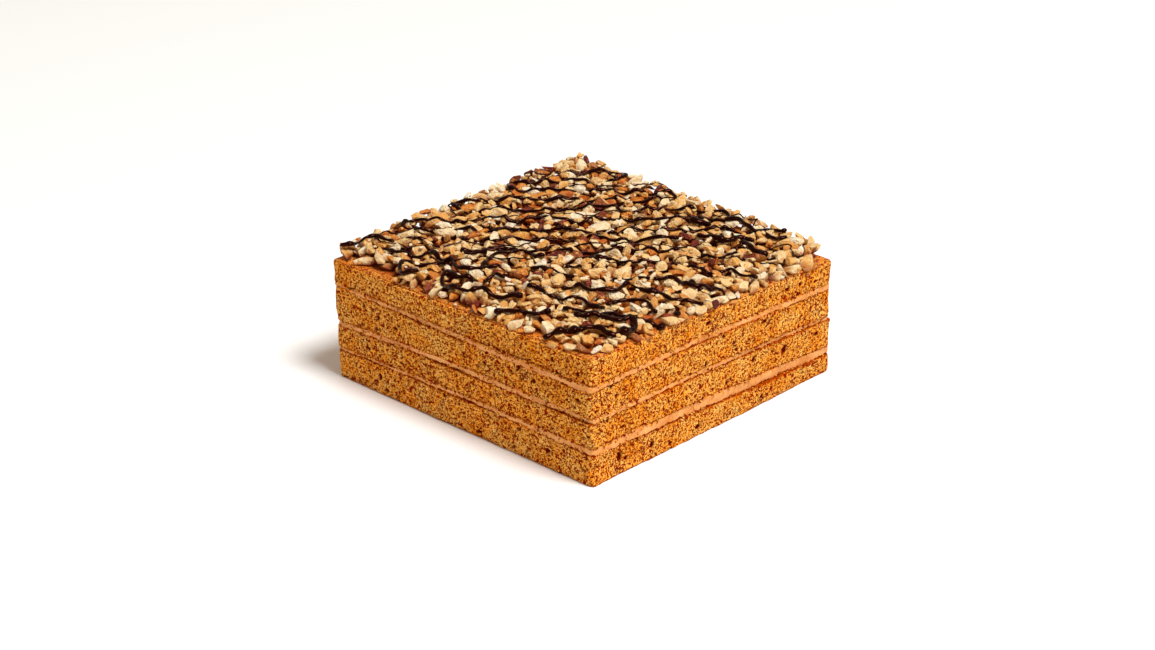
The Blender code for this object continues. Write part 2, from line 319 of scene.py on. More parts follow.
def uneven_colour(tree, light, deep, patches, grains, grainy):
    """Patches and grains are given as how many fit in a metre."""
    inputs = {"Light": light, "Deep": deep, "Patches per metre": patches,
              "Grains per metre": grains, "Grain share": grainy}
    return add_node(tree, "ShaderNodeGroup", inputs, node_tree=UNEVEN_COLOUR).outputs


# %% [markdown]
# ## Honey sponge
#
# Cut honey sponge is a fine crumb full of round pores, mostly under a millimetre, with a few
# bubbles of two to five. A bump in the material alone would keep the edge and the shadows flat,
# so the larger pores are pressed into the mesh: the wall's grid is fine enough to hold them, and
# for each one a small bowl is written into an array of depths. The same array paints shade into
# them in the material, darker the deeper they are. The finest pores are smaller than the grid, so
# the material alone makes those: the hollows of a fine noise, whose shapes are as irregular as
# torn crumb, filled with painted shade. Cream and coat show crumb at their edges too, so this
# crumb is a node group. In places the sponge is browned towards its rims, because each layer was
# baked by itself.

# %% Press pores into an array of depths
CRUMB_GRID = 0.40 * MM  # the size of a quad of the sponge's wall
PORE_KINDS = (  # pores for each square centimetre, radii in mm
    (26, 0.30, 0.55),
    (2.2, 0.55, 0.90),
    (0.12, 0.90, 1.30),
)
PORE_WIDTHS = (0.8, 1.5)  # for its height
PORE_DEPTH = 1.1  # of its radius
PORE_DEEPEST = 1.6 * MM


def press_bowl(depth, cell, column, row, wide, high):
    """Press one bowl into the depths. The cell is the width and height of a quad there."""
    across = np.arange(math.ceil(column - wide / cell[0]), column + wide / cell[0])
    up = np.arange(math.ceil(max(0, row - high / cell[1])),
                   min(len(depth) - 1, row + high / cell[1]))
    if not len(across) or not len(up):
        return
    off_across = (across - column) * cell[0] / wide
    off_up = (up - row) * cell[1] / high
    bowl = 1 - off_across[None, :] ** 2 - off_up[:, None] ** 2
    bowl = PORE_DEPTH * min(wide, high) * np.sqrt(np.clip(bowl, 0, None))
    here = np.ix_(up.astype(int), across.astype(int) % depth.shape[1])
    depth[here] = np.maximum(depth[here], np.minimum(bowl, PORE_DEEPEST))


def press_pores(rng, heights, rows, pitch):
    """Depths of the pores over a wall: one row of the array for each row of its grid."""
    columns = len(heights)
    depth = np.zeros((rows + 1, columns))
    area = pitch * heights.sum()
    for per_cm2, smallest, largest in PORE_KINDS:
        for _ in range(int(per_cm2 * area / (10 * MM) ** 2)):
            high = rng.triangular(smallest, largest, smallest) * MM
            wide = high * rng.uniform(*PORE_WIDTHS)
            column = rng.uniform(0, columns)
            cell = (pitch, heights[int(column)] / rows)
            press_bowl(depth, cell, column, rng.uniform(0, rows), wide, high)
    return depth


# %% The largest bubbles, where the photo shows them
BUBBLES = {  # for each side: along it, height above the floor, width and height, in mm
    (1, -1): ((39.3, 44.3, 2.6, 2.9), (-55.2, 8.8, 2.6, 3.6), (76.7, 53.8, 2.6, 2.2),
              (-42.0, 38.4, 4.0, 1.8), (-64.4, 43.2, 1.9, 3.2), (-54.2, 40.0, 2.4, 2.8),
              (61.2, 56.2, 2.4, 2.4), (49.6, 41.2, 2.8, 2.2), (12.6, 3.0, 3.8, 2.0),
              (-50.5, 3.2, 3.2, 2.2), (77.1, 41.0, 2.8, 1.9), (-55.7, 34.4, 2.6, 2.2)),
    (0, 1): ((-66.2, 8.5, 3.4, 5.4), (49.8, 23.0, 4.0, 4.8), (27.0, 25.5, 3.2, 3.4),
             (-13.4, 4.6, 4.0, 2.6), (-44.9, 6.7, 3.2, 3.2), (-5.4, 54.8, 4.8, 2.2),
             (33.9, 42.6, 4.6, 2.2), (-7.1, 34.8, 2.2, 4.0), (52.0, 53.7, 3.6, 2.2),
             (12.4, 39.1, 3.4, 2.0), (4.5, 44.8, 3.4, 2.0), (73.7, 23.2, 3.4, 2.2),
             (-58.3, 12.6, 2.0, 3.4), (61.5, 53.4, 2.6, 2.4), (32.2, 4.2, 3.4, 2.2)),
}


def press_bubbles(depth, outline, bottom, top):
    """Press the largest bubbles that lie on this layer, and count them."""
    points, _, pitch = outline
    rows = len(depth) - 1
    count = 0
    for (axis, sign), bubbles in BUBBLES.items():
        off_side = np.abs(points[:, axis] - sign * HALF)
        for along, height, wide, high in bubbles:
            column = int(np.argmin(off_side + np.abs(points[:, 1 - axis] - along * MM)))
            low, thick = bottom[column, 2], top[column, 2] - bottom[column, 2]
            if low < height * MM < low + thick:
                row = (height * MM - low) / thick * rows
                press_bowl(depth, (pitch, thick / rows), column, row, wide * MM / 2, high * MM / 2)
                count += 1
    return count


# %% A layer's wall on its solid
def unevenness(points, height, size, course=0.0):
    """Smooth noise: bumps of the given height and size. Each course has bumps of its own."""
    shift = Vector((course, 2 * course, 3 * course))
    return height * np.array([noise.noise(Vector(point) / size + shift) for point in points])


def layer_surface(node, outline, rows, lower=0.0, upper=0.0):
    """Points of a layer's cut wall on its solid: an array of rows, columns and x, y, z.

    Each column bulges along a parabola through its lower rim, its middle and its upper rim.
    """
    bottom, top = [rim_line(node, rim, outline) for rim in ("bottom", "top")]
    bottom[:, 2] -= lower
    top[:, 2] += upper
    middle = (bottom + top) / 2
    if "middle" in measured[node][0, 1]:
        middle = rim_line(node, "middle", outline)
    rise = np.linspace(0, 1, rows + 1)[:, None, None]
    wall = bottom * (1 - rise) * (1 - 2 * rise) + middle * 4 * rise * (1 - rise)
    wall += top * rise * (2 * rise - 1)
    wall[:, :, 2] = bottom[:, 2] * (1 - rise[:, :, 0]) + top[:, 2] * rise[:, :, 0]
    return wall


# %% Make the walls of the four sponges
SPONGE_LUMPS = (0.45 * MM, 6 * MM)  # how high, and how far apart
SPONGE_GRAIN = (0.10 * MM, 0.9 * MM)
EDGE_WEAR = 0.5 * MM  # how far in from its rims a sponge's edge is worn round
EDGE_WORN_BY = 0.3 * MM
SKIN_BAND = 1.2 * MM  # how far in from its rims a sponge is browned
SKIN_WIDTHS = (0.01, 0.6, 1.6)  # of that band: least, usual and greatest
SKIN_VARIES = (1.6, 6 * MM)  # how much that changes, and over what length
RIM_STRIP = 1.5 * MM  # width of the flat strip just inside a rim
PORE_SHADED = 0.8 * MM  # pores this deep get the full painted shade
SPONGE_REACH = 0.3 * MM  # over the gap that the solids keep to the next layer


def make_sponge(node, number):
    outline = round_square(round(8 * HALF / CRUMB_GRID))
    _, normals, pitch = outline
    columns = len(normals)
    bottom, top = [rim_line(node, rim, outline) for rim in ("bottom", "top")]
    heights = top[:, 2] - bottom[:, 2]
    rows = round(heights.mean() / CRUMB_GRID)
    depth = press_pores(random.Random(100 + number), heights, rows, pitch)
    print(node, "large bubbles:", press_bubbles(depth, outline, bottom, top))

    mesh = finished_mesh(f"honey_sponge_{number}", rolled_grid(columns, rows, True))
    column, row, inner = rolled_places(points_of(mesh), columns, rows)
    lower = 0.0 if number == 1 else SPONGE_REACH
    points = layer_surface(node, outline, rows, lower, SPONGE_REACH)[row, column]
    to_rim = np.minimum(row, rows - row) / rows * heights[column]
    worn = np.clip(1 - to_rim / EDGE_WEAR, 0, 1) ** 2
    pressed = depth[row, column]
    out = unevenness(points, *SPONGE_LUMPS, number) + unevenness(points, *SPONGE_GRAIN, number)
    out -= pressed + worn * EDGE_WORN_BY
    out[inner] = -RIM_STRIP
    points[:, :2] += normals[column] * out[:, None]
    set_points(mesh, points)
    # painted shade in the pressed pores, by their depth
    set_mask(mesh, "pore", np.where(inner, 0, np.clip(pressed / PORE_SHADED, 0, 1)))
    narrow, usual, wide = SKIN_WIDTHS
    skin = SKIN_BAND * np.clip(usual + unevenness(points, *SKIN_VARIES, number + 9), narrow, wide)
    if number == len(SPONGES):  # its upper rim is not browned, under the coat
        to_rim = np.where(row > rows / 2, SKIN_BAND * 2, to_rim)
    set_mask(mesh, "skin", np.clip(1 - to_rim / skin, 0, 1))
    mesh.shade_smooth()
    return mesh


# %% Honey crumb as a node group
CRUMB_LIGHT = (1.0, 0.822, 0.455, 1)  # this one and the next before their gamma
CRUMB_DEEP = (0.96, 0.455, 0.0280, 1)
CRUMB_GAMMA = 2.0
CRUMB_BROWNED = (0.46, 0.075, 0.001, 1)
# painted shade in the hollows of the fine pores
CRUMB_HOLLOW_SHADE = (0.26, 0.009, 0.0001, 1)
FINE_PORES = (  # how many in a metre, and the noise where they start and where they are full
    (680.0, 0.445, 0.41), (1350.0, 0.455, 0.425))


def deepen(tree, colour, power):
    """A colour raised to a power: over one it gets yellower and redder as it darkens."""
    return add_node(tree, "ShaderNodeGamma", {"Color": colour, "Gamma": power}).outputs["Color"]


def honey_crumb_group():
    tree, given, result = new_group("honey_crumb", {"Browned": "Float"})
    crumb = uneven_colour(tree, CRUMB_LIGHT, CRUMB_DEEP, patches=90.0, grains=1000.0, grainy=0.65)
    rich = deepen(tree, crumb["Colour"], CRUMB_GAMMA)
    browned = mix_colour(tree, given["Browned"], rich, CRUMB_BROWNED)
    pores = []
    for per_metre, outer, inner in FINE_PORES:
        torn = noise_pattern(tree, per_metre, detail=2.0, roughness=0.65)
        pores.append(stretch(tree, torn, outer, inner))
    pores = calculate(tree, "MAXIMUM", *pores)
    # painted shade: the hollows of the fine pores turn dark red-brown
    tree.links.new(mix_colour(tree, pores, browned, CRUMB_HOLLOW_SHADE), result["Colour"])
    tree.links.new(calculate(tree, "SUBTRACT", crumb["Height"], pores), result["Height"])
    return tree


HONEY_CRUMB = honey_crumb_group()


def honey_crumb(tree, browned):
    inputs = {"Browned": browned}
    return add_node(tree, "ShaderNodeGroup", inputs, node_tree=HONEY_CRUMB).outputs


# %% A material for honey sponge
# painted shade: the dark red-brown of the pressed pores
PORE_PAINTED_SHADE = (0.15, 0.005, 0.0001, 1)


def food_material(name, **plain):
    """A new material and its node tree. Its Principled shader gets the plain values."""
    material = bpy.data.materials.new(name)
    material.use_nodes = True
    for key, value in plain.items():
        socket = material.node_tree.nodes["Principled BSDF"].inputs[key.replace("_", " ")]
        socket.default_value = value
    return material, material.node_tree


def read_mask(tree, name):
    return add_node(tree, "ShaderNodeAttribute", {}, attribute_name=name).outputs["Fac"]


def surfaced(material, colour, height, depth):
    """Link a material's colour, and bumps as deep as the given depth in metres."""
    tree = material.node_tree
    shader = tree.nodes["Principled BSDF"]
    bump = add_node(tree, "ShaderNodeBump", {"Height": height, "Distance": depth})
    tree.links.new(colour, shader.inputs["Base Color"])
    tree.links.new(bump.outputs["Normal"], shader.inputs["Normal"])
    return material


def sponge_material():
    material, tree = food_material("honey_sponge", Roughness=0.9, Specular_IOR_Level=0.0)
    crumb = honey_crumb(tree, read_mask(tree, "skin"))
    # painted shade: the pressed pores darken towards a dark red-brown
    colour = mix_colour(tree, read_mask(tree, "pore"), crumb["Colour"], PORE_PAINTED_SHADE)
    return surfaced(material, colour, crumb["Height"], depth=0.18 * MM)


HONEY_SPONGE = sponge_material()
for number, node in enumerate(SPONGES, 1):
    add_piece(make_sponge(node, number), HONEY_SPONGE, "sponge", node)

# %% [markdown]
# ## Caramel cream
#
# Between two sponges the cream shows as a narrow bead. It was spread with a knife, pressed out a
# little by the weight above and wiped along the cut, so it is smooth but not even, and it clings
# to the sponge above and below. Its wall is a rolled grid too. The rows in the middle follow the
# cream's own solid and stand a little proud, and the last rows turn in under the sponges, so no
# gap shows. The knife drags crumb over the cream's edges, so a mask lets crumb show there.

# %% Make the walls of the three creams
CREAM_GRID = 0.55 * MM
CREAM_ROWS = 12
CREAM_PROUD = 0.30 * MM
CREAM_LUMPS = (0.55 * MM, 11 * MM)  # how high, and how far apart
CREAM_RIPPLE = (0.22 * MM, 1.6 * MM)
CREAM_WANDER = (0.54 * MM, 6 * MM)  # how far its edges wander, and over what length
CREAM_RAGGED = (0.72 * MM, 1.6 * MM)
CREAM_TUCK = 0.45 * MM  # how far its edges lie inside the sponge they meet
CREAM_REACH = 0.05 * MM  # over the gaps above and below
CREAM_TURN = 0.7 * MM  # over which its edges turn in
CREAM_SMEARED = 1.3 * MM  # how far in from its edges crumb is smeared over it


def outward(points, normals):
    """How far points lie out from the cake's nominal side, along its normals."""
    return np.sum(points[..., :2] * normals, -1)


def cream_wall(node, number, below, above, outline):
    """A cream's wall: its points, how far each moves out, and how far each is from an edge.

    Its edges wander in height and lie a little inside both sponges. Between them it swells out
    in a quarter circle at each edge, and stands proud of its solid.
    """
    normals = outline[1]
    wall = layer_surface(node, outline, CREAM_ROWS)
    bottom, top = wall[0, :, 2].copy(), wall[-1, :, 2].copy()
    rise = np.linspace(0, 1, CREAM_ROWS + 1)[:, None]
    low, high = [CREAM_REACH + unevenness(wall[0], *CREAM_WANDER, number + shift)
                 + unevenness(wall[0], *CREAM_RAGGED, shift) for shift in (0, 20)]
    wall[:, :, 2] = (bottom - low) * (1 - rise) + (top + high) * rise
    lower = outward(rim_line(below, "top", outline), normals)
    upper = outward(rim_line(above, "bottom", outline), normals)
    own = outward(wall, normals)
    edge = np.minimum(own, lower * (1 - rise) + upper * rise) - CREAM_TUCK
    to_edge = np.minimum(rise, 1 - rise) * (top - bottom + low + high)
    full = np.clip(to_edge / CREAM_TURN, 0, 1)
    full = np.sqrt(1 - (1 - full) ** 2)
    flat = wall.reshape(-1, 3)
    lumps = unevenness(flat, *CREAM_LUMPS, number + 3)
    lumps += unevenness(flat, *CREAM_RIPPLE, number + 6)
    proud = own + CREAM_PROUD + lumps.reshape(own.shape)
    return wall, edge * (1 - full) + proud * full - own, to_edge


def make_cream(node, number, below, above):
    outline = round_square(round(8 * HALF / CREAM_GRID))
    wall, out, to_edge = cream_wall(node, number, below, above, outline)
    normals = outline[1]
    columns = len(normals)
    mesh = finished_mesh(f"caramel_cream_{number}", rolled_grid(columns, CREAM_ROWS, True))
    column, row, inner = rolled_places(points_of(mesh), columns, CREAM_ROWS)
    points = wall[row, column]
    step_out = np.where(inner, out[row, column] - RIM_STRIP, out[row, column])
    points[:, :2] += normals[column] * step_out[:, None]
    set_points(mesh, points)
    set_mask(mesh, "smeared", np.clip(1 - to_edge[row, column] / CREAM_SMEARED, 0, 1))
    mesh.shade_smooth()
    return mesh


# %% A material for caramel cream
CREAM_LIGHT = (1.0, 0.49, 0.165, 1)
CREAM_DEEP = (0.64, 0.185, 0.018, 1)
SMEAR_EDGE = (0.82, 1.0)  # the mask and noise in all, where crumb starts and where it is full
SMEAR_BROWNED = 0.2


def cream_material():
    material, tree = food_material("caramel_cream", Roughness=0.5, Specular_IOR_Level=0.2,
                                   Subsurface_Weight=0.05, Subsurface_Radius=(1.0, 0.5, 0.25),
                                   Subsurface_Scale=2 * MM)
    cream = uneven_colour(tree, CREAM_LIGHT, CREAM_DEEP, patches=70.0, grains=800.0, grainy=0.4)
    ragged = noise_pattern(tree, per_metre=420.0, detail=3.0, roughness=0.7)
    smear = calculate(tree, "ADD", read_mask(tree, "smeared"), ragged)
    smear = stretch(tree, smear, *SMEAR_EDGE)
    colour = mix_colour(tree, smear, cream["Colour"], honey_crumb(tree, SMEAR_BROWNED)["Colour"])
    return surfaced(material, colour, cream["Height"], depth=0.4 * MM)


CARAMEL_CREAM = cream_material()
for number, node in enumerate(CREAMS, 1):
    mesh = make_cream(node, number, SPONGES[number - 1], SPONGES[number])
    add_piece(mesh, CARAMEL_CREAM, "cream", node)

# %% [markdown]
# ## The coat under the nuts
#
# The top sponge carries a thin coat of cream, which the nuts stick to. From above it shows as
# brown caramel between the nuts, darkened with painted shade from the nuts above it, and at its
# rim it is so thin that crumb shows through, without that shade. It follows the top sponge: its
# height is a sloping sheet fitted to the rim of that sponge, so it needs no measures of its own.
# It starts as a grid, so that its top and edge can be uneven, and its edge is then extruded down
# to a skirt and closed.

# %% Fit the top of the cake
COAT_GAP = 0.3 * MM
COAT_THICKNESS = 1.2 * MM
COAT_INSET = 0.2 * MM
DECK_COLUMNS = 400  # places round the top where its height is read


def fitted_deck():
    """Height of the coat's top at (x, y): a bilinear sheet through the top sponge's rim."""
    rim = rim_line("sponge_4", "top", round_square(DECK_COLUMNS))
    x, y = rim[:, 0], rim[:, 1]
    terms = np.linalg.lstsq(np.stack((np.ones_like(x), x, y, x * y), 1), rim[:, 2], rcond=None)[0]

    def height(x, y):
        sheet = terms[0] + terms[1] * x + terms[2] * y + terms[3] * x * y
        return sheet + COAT_GAP + COAT_THICKNESS

    return height


deck = fitted_deck()
corners = [(-HALF, -HALF), (HALF, -HALF), (HALF, HALF), (-HALF, HALF)]
print("deck at the corners, mm:", [round(deck(*corner) / MM, 1) for corner in corners])

# %% Make the coat
COAT_CELLS = 90
COAT_LUMPS = (0.25 * MM, 4 * MM)  # how high, and how far apart
COAT_RAGGED = (0.9 * MM, 7 * MM)  # how far its edge wanders, and over what length
COAT_EDGE_LOWER = 0.3 * COAT_THICKNESS
COAT_SKIRT = COAT_THICKNESS + 0.2 * MM
COAT_RIM = 6 * MM  # width of the rim where crumb shows through it
COAT_BARE = 24 * MM  # length of the corners where it shows too, on the drizzle's diagonal
COAT_FADE = 1.6  # how sharply the crumb gives way to cream


def lay_coat(bm, half, middle):
    """Lift a flat grid onto the deck, with lumps, a ragged edge and a mask for its rim."""
    rim_mask = bm.verts.layers.float.new("rim")
    for vert in bm.verts:
        x, y, _ = vert.co
        lump = unevenness([(x, y, 0)], *COAT_LUMPS)[0]
        if vert.is_boundary:
            pull = 1 - (COAT_RAGGED[0] + unevenness([(x, y, 0)], *COAT_RAGGED)[0]) / half / 2
            x, y = x * pull, y * pull
            lump -= COAT_EDGE_LOWER
        to_edge = (half - max(abs(x), abs(y))) / COAT_RIM
        to_corner = (half * math.sqrt(2) - abs(x + y) / math.sqrt(2)) / COAT_BARE
        vert[rim_mask] = min(1.0, max(0.0, COAT_FADE * (1 - min(to_edge, to_corner))))
        vert.co = (x + middle[0], y + middle[1], deck(x, y) + lump)


def make_coat():
    middle = rim_line("sponge_4", "top", round_square(DECK_COLUMNS))[:, :2].mean(0)
    half = HALF - COAT_INSET
    bm = bmesh.new()
    bmesh.ops.create_grid(bm, x_segments=COAT_CELLS, y_segments=COAT_CELLS, size=half)
    lay_coat(bm, half, middle)
    rim_edges = [edge for edge in bm.edges if edge.is_boundary]
    skirt = bmesh.ops.extrude_edge_only(bm, edges=rim_edges)["geom"]
    for part in skirt:
        if isinstance(part, bmesh.types.BMVert):
            part.co.z = deck(part.co.x, part.co.y) - COAT_SKIRT
    bmesh.ops.holes_fill(bm, edges=[edge for edge in bm.edges if edge.is_boundary])
    bmesh.ops.recalc_face_normals(bm, faces=bm.faces)
    mesh = finished_mesh("cream_coat", bm)
    mesh.shade_smooth()
    return mesh


# %% A material for the coat
# caramel darkened with painted shade from the nuts above it
COAT_SHADED_LIGHT = (0.52, 0.12, 0.010, 1)
COAT_SHADED_DEEP = (0.18, 0.022, 0.001, 1)
COAT_CRUMB_BROWNED = 0.35


def coat_material():
    material, tree = food_material("coat_of_cream", Roughness=0.6, Specular_IOR_Level=0.15)
    coat = uneven_colour(tree, COAT_SHADED_LIGHT, COAT_SHADED_DEEP, patches=120.0, grains=900.0, grainy=0.4)
    crumb = honey_crumb(tree, COAT_CRUMB_BROWNED)
    # painted shade: the coat is dark under the nuts, and its rim and bare corners show unshaded
    # crumb
    colour = mix_colour(tree, read_mask(tree, "rim"), coat["Colour"], crumb["Colour"])
    return surfaced(material, colour, coat["Height"], depth=0.4 * MM)


add_piece(make_coat(), coat_material(), "cream", "nut_topping")

# %% [markdown]
# ## Chopped nuts
#
# A chopped nut is part smooth outside, part flat break. A ball with noise gives the outside, and
# planes that cut it give the breaks, whose faces are marked so that the material can leave the
# brown skin off them. A hundred such shapes are enough for all the pieces, because each copy has
# its own size, proportions, turn and tone. Every kind of nut is one joined mesh: a particle
# system would be quicker to set up, but its copies would be all alike and would not lie on each
# other.

# %% Break a nut
SHAPES_OF_EACH = 40
NUT_WAVES = ((1.3, 1.0), (3.4, 0.6))  # for each radius, and their share of a piece's lumps
NOISE_APART = 40  # so that each piece has lumps of its own
BREAK_PLACES = (0.22, 0.64)  # from a piece's middle, where its outside is at 1


def any_direction(rng):
    return Vector([rng.gauss(0, 1) for _ in range(3)]).normalized()


def broken_nut(rng, subdivisions, breaks, lumps):
    """One nut piece in a box from -1 to 1: points, triangles, and which triangles are breaks."""
    bm = bmesh.new()
    is_break = bm.faces.layers.int.new("is_break")
    bmesh.ops.create_icosphere(bm, subdivisions=subdivisions, radius=1)
    shift = any_direction(rng) * NOISE_APART
    for vert in bm.verts:
        vert.co *= 1 + lumps * sum(share * noise.noise(vert.co * waves + shift)
                                   for waves, share in NUT_WAVES)
    for _ in range(breaks):
        direction = any_direction(rng)
        cut = bmesh.ops.bisect_plane(
            bm, geom=bm.verts[:] + bm.edges[:] + bm.faces[:], clear_outer=True,
            plane_co=direction * rng.uniform(*BREAK_PLACES), plane_no=direction)
        rim = [part for part in cut["geom_cut"] if isinstance(part, bmesh.types.BMEdge)]
        for face in bmesh.ops.holes_fill(bm, edges=rim)["faces"]:
            face[is_break] = 1
    bmesh.ops.triangulate(bm, faces=bm.faces)
    bm.verts.index_update()
    points = np.array([vert.co for vert in bm.verts])
    low, high = points.min(0), points.max(0)
    points = (points - (low + high) / 2) / ((high - low) / 2)
    triangles = np.array([[vert.index for vert in face.verts] for face in bm.faces])
    breaks_on = np.array([face[is_break] for face in bm.faces], float)
    bm.free()
    return points, triangles, breaks_on


nut_rng = random.Random(41)
NUT_SHAPES = {
    "chopped": [broken_nut(nut_rng, 2, nut_rng.choice((2, 3, 3, 4)), lumps=0.42)
                for _ in range(SHAPES_OF_EACH)],
    "rounded": [broken_nut(nut_rng, 2, breaks=1, lumps=0.28) for _ in range(SHAPES_OF_EACH // 2)],
    "crumb": [broken_nut(nut_rng, 1, breaks=2, lumps=0.3) for _ in range(SHAPES_OF_EACH)],
}
for kind, shapes in NUT_SHAPES.items():
    print(f"{kind}: {np.mean([len(shape[1]) for shape in shapes]):.0f} triangles a piece")

# %% [markdown]
# ## Heaping them
#
# Dropping two thousand bodies in a physics simulation would take minutes. A heap this shallow
# needs much less: a map of heights over the deck. Each piece looks up the map under itself,
# settles with most of its underside clear of it, and then raises the map. The pieces that stand
# out on the photo come first, then a row along each side and a loose grid over the deck. Later
# ones fall into the lowest of a few random spots, and crumbs fill the cracks.

# %% A map of heights over the deck
MAP_CELL = 0.5 * MM
MAP_REACH = HALF + 6 * MM
map_line = np.arange(-MAP_REACH, MAP_REACH + MAP_CELL, MAP_CELL)
map_x, map_y = np.meshgrid(map_line, map_line, indexing="ij")
heap = deck(map_x, map_y)
LIMITS_ACROSS = (-115 * MM, -75 * MM, 0, 100 * MM)  # from the front corner to the back one
HEAP_LIMITS = (3.8 * MM, 5.8 * MM, 7.8 * MM, 8.3 * MM)  # above the deck
RIM_LIMITS = (3.0 * MM, 3.9 * MM, 7.6 * MM, 8.1 * MM)
HEAP_SLOPE = 9 * MM  # over which the heap rises from one limit to the other


def height_of_heap(x, y):
    """How far the heap reaches above the deck."""
    i, j = [int(round((value + MAP_REACH) / MAP_CELL)) for value in (x, y)]
    return heap[i, j] - deck(x, y)


def heap_limit(x, y):
    """How high pieces may reach: the heap slopes down to the cake's sides and its front."""
    inside = min(1.0, max(0.0, HALF - max(abs(x), abs(y))) / HEAP_SLOPE)
    limits = [np.interp((y - x) / math.sqrt(2), LIMITS_ACROSS, heights)
              for heights in (RIM_LIMITS, HEAP_LIMITS)]
    return deck(x, y) + limits[0] + (limits[1] - limits[0]) * inside


# %% Lay a piece on the heap
TOUCHES = 0.3  # the part of its dome, in height, that touches what a piece lies on
SMALL_RISES = 0.4  # of its half height: how far a piece smaller than the map's cells stands out
NEST = 70  # per cent of its underside that has to be clear of what it lies on
CRUMB_NEST = 25
CRUMB_REACH = 2 * MM
PIECE_TILT = 0.38  # radians, either way as a rule
MEASURED_TILT = 0.12
NUT_SHARES = {"nuts_pale": 0.66, "nuts_golden": 0.21, "nuts_in_skin": 0.13}


def settle(x, y, half, turn):
    """Rest height of a piece's middle at (x, y), with the part of the map that it raises."""
    reach = max(half[0], half[1])
    low = np.searchsorted(map_line, (x - reach, y - reach))
    high = np.searchsorted(map_line, (x + reach, y + reach))
    here = (slice(low[0], high[0]), slice(low[1], high[1]))
    off_x, off_y = map_x[here] - x, map_y[here] - y
    along = (off_x * math.cos(turn) + off_y * math.sin(turn)) / half[0]
    across = (off_y * math.cos(turn) - off_x * math.sin(turn)) / half[1]
    dome = half[2] * np.sqrt(np.clip(1 - along**2 - across**2, 0, None))
    covered = dome > TOUCHES * half[2]
    if not covered.any():
        return height_of_heap(x, y) + deck(x, y) + SMALL_RISES * half[2], here, dome
    nest = NEST if reach > CRUMB_REACH else CRUMB_NEST
    return np.percentile((heap[here] + dome)[covered], nest), here, dome


def lay_piece(pieces, rng, kind, x, y, half, turn=None, pile=None):
    """Lay a nut piece on the heap, unless it would stand too high."""
    turn = rng.uniform(0, math.tau) if turn is None else turn
    z, here, dome = settle(x, y, half, turn)
    if pile is None and z + half[2] > heap_limit(x, y):
        return
    heap[here] = np.where(dome > 0, np.maximum(heap[here], z + dome), heap[here])
    tilt = PIECE_TILT if pile is None else MEASURED_TILT
    turns = (rng.gauss(0, tilt), rng.gauss(0, tilt), turn)
    pile = pile or rng.choices(list(NUT_SHARES), NUT_SHARES.values())[0]
    pieces.append((pile, kind, (x, y, z), half, turns, rng.random()))


# %% Where nuts may lie
EDGE_MARGIN = 2.4 * MM
EDGE_RAGGED = (1.2 * MM, 9 * MM)  # how far the heap's edge wanders, and over what length
BARE_CORNERS = (4 * MM, 10 * MM)  # at the ends of the diagonal that the drizzle follows
BARE_FRONT = 7 * MM
BARE_PLACES = (  # along the edges: least and greatest x, least and greatest y, in mm
    (-90, -42, -90, -78), (46, 62, -90, -79), (78, 90, -44, -31))
CORNER_SPAN = HALF * math.sqrt(2)


def on_top(x, y, margin):
    ragged = margin + unevenness([(x, y, 0)], *EDGE_RAGGED)[0]
    bare = any(left * MM < x < right * MM and front * MM < y < back * MM
               for left, right, front, back in BARE_PLACES)
    if bare or max(abs(x), abs(y)) > HALF - ragged:
        return False
    along, across = (x + y) / math.sqrt(2), (y - x) / math.sqrt(2)
    if across < BARE_FRONT - CORNER_SPAN:
        return False
    return BARE_CORNERS[0] - CORNER_SPAN < along < CORNER_SPAN - BARE_CORNERS[1]


# %% The pieces that stand out on the photo
SHOWN_NUTS = (  # x, y, length, width and height in mm, turn in degrees, and the pile if not pale
    (74, -76, 6.5, 6, 6, 30), (70, -79, 4.8, 4.5, 5.6, 80), (81, -63, 6.8, 4.6, 4, 70),
    (79, -70, 4.8, 4.2, 3.8, 0), (64, -80, 5.4, 4.4, 3.8, 20), (-67, -80, 13, 5.5, 4.6, 38),
    (-77, -75, 8.5, 4.6, 4, 45), (-69, -71, 7.5, 4.6, 4.2, 50), (-79.5, -81, 5.6, 5.4, 6, 10),
    (-59, -72, 9, 7, 6, 45), (-30, -70, 11.5, 4.2, 4, 45, "nuts_golden"),
    (5, -80, 6.2, 5, 8.5, 45), (0, -80, 5.5, 5, 5.2, 0),
    (-6, -82, 4.8, 4.5, 4.4, 0, "nuts_golden"), (-12, -82, 5.6, 4.8, 4.2, 30),
    (-18, -42, 8, 7, 6, 45, "nuts_golden"),
    (53, 22, 11, 8, 6.5, 45, "nuts_golden"), (64, 50, 9.5, 9, 8, 0, "nuts_in_skin"),
    (60, 8, 6.8, 4, 3.4, 45), (82, 54, 12, 4.8, 4.6, 25), (80, 63, 7.8, 4.6, 4.2, 50),
    (76, 43, 5, 4.6, 6, 0), (81, 37, 5, 4.5, 5.6, 60), (70, 26, 10.5, 4.8, 4.2, 45),
    (80, 20, 11, 6, 5.2, 60), (54, -23, 6.8, 4.4, 3.8, 45), (73, 6, 7.4, 4.6, 3.8, 40),
    (84, -12, 6.5, 4.2, 4, 80), (84.5, -3, 5.8, 5, 4.4, 30, "nuts_in_skin"))


def lay_shown(pieces, rng):
    for x, y, *size, turn, pile in [(*nut, "nuts_pale")[:7] for nut in SHOWN_NUTS]:
        half = np.array(size) * MM / 2
        lay_piece(pieces, rng, "chopped", x * MM, y * MM, half, math.radians(turn), pile)


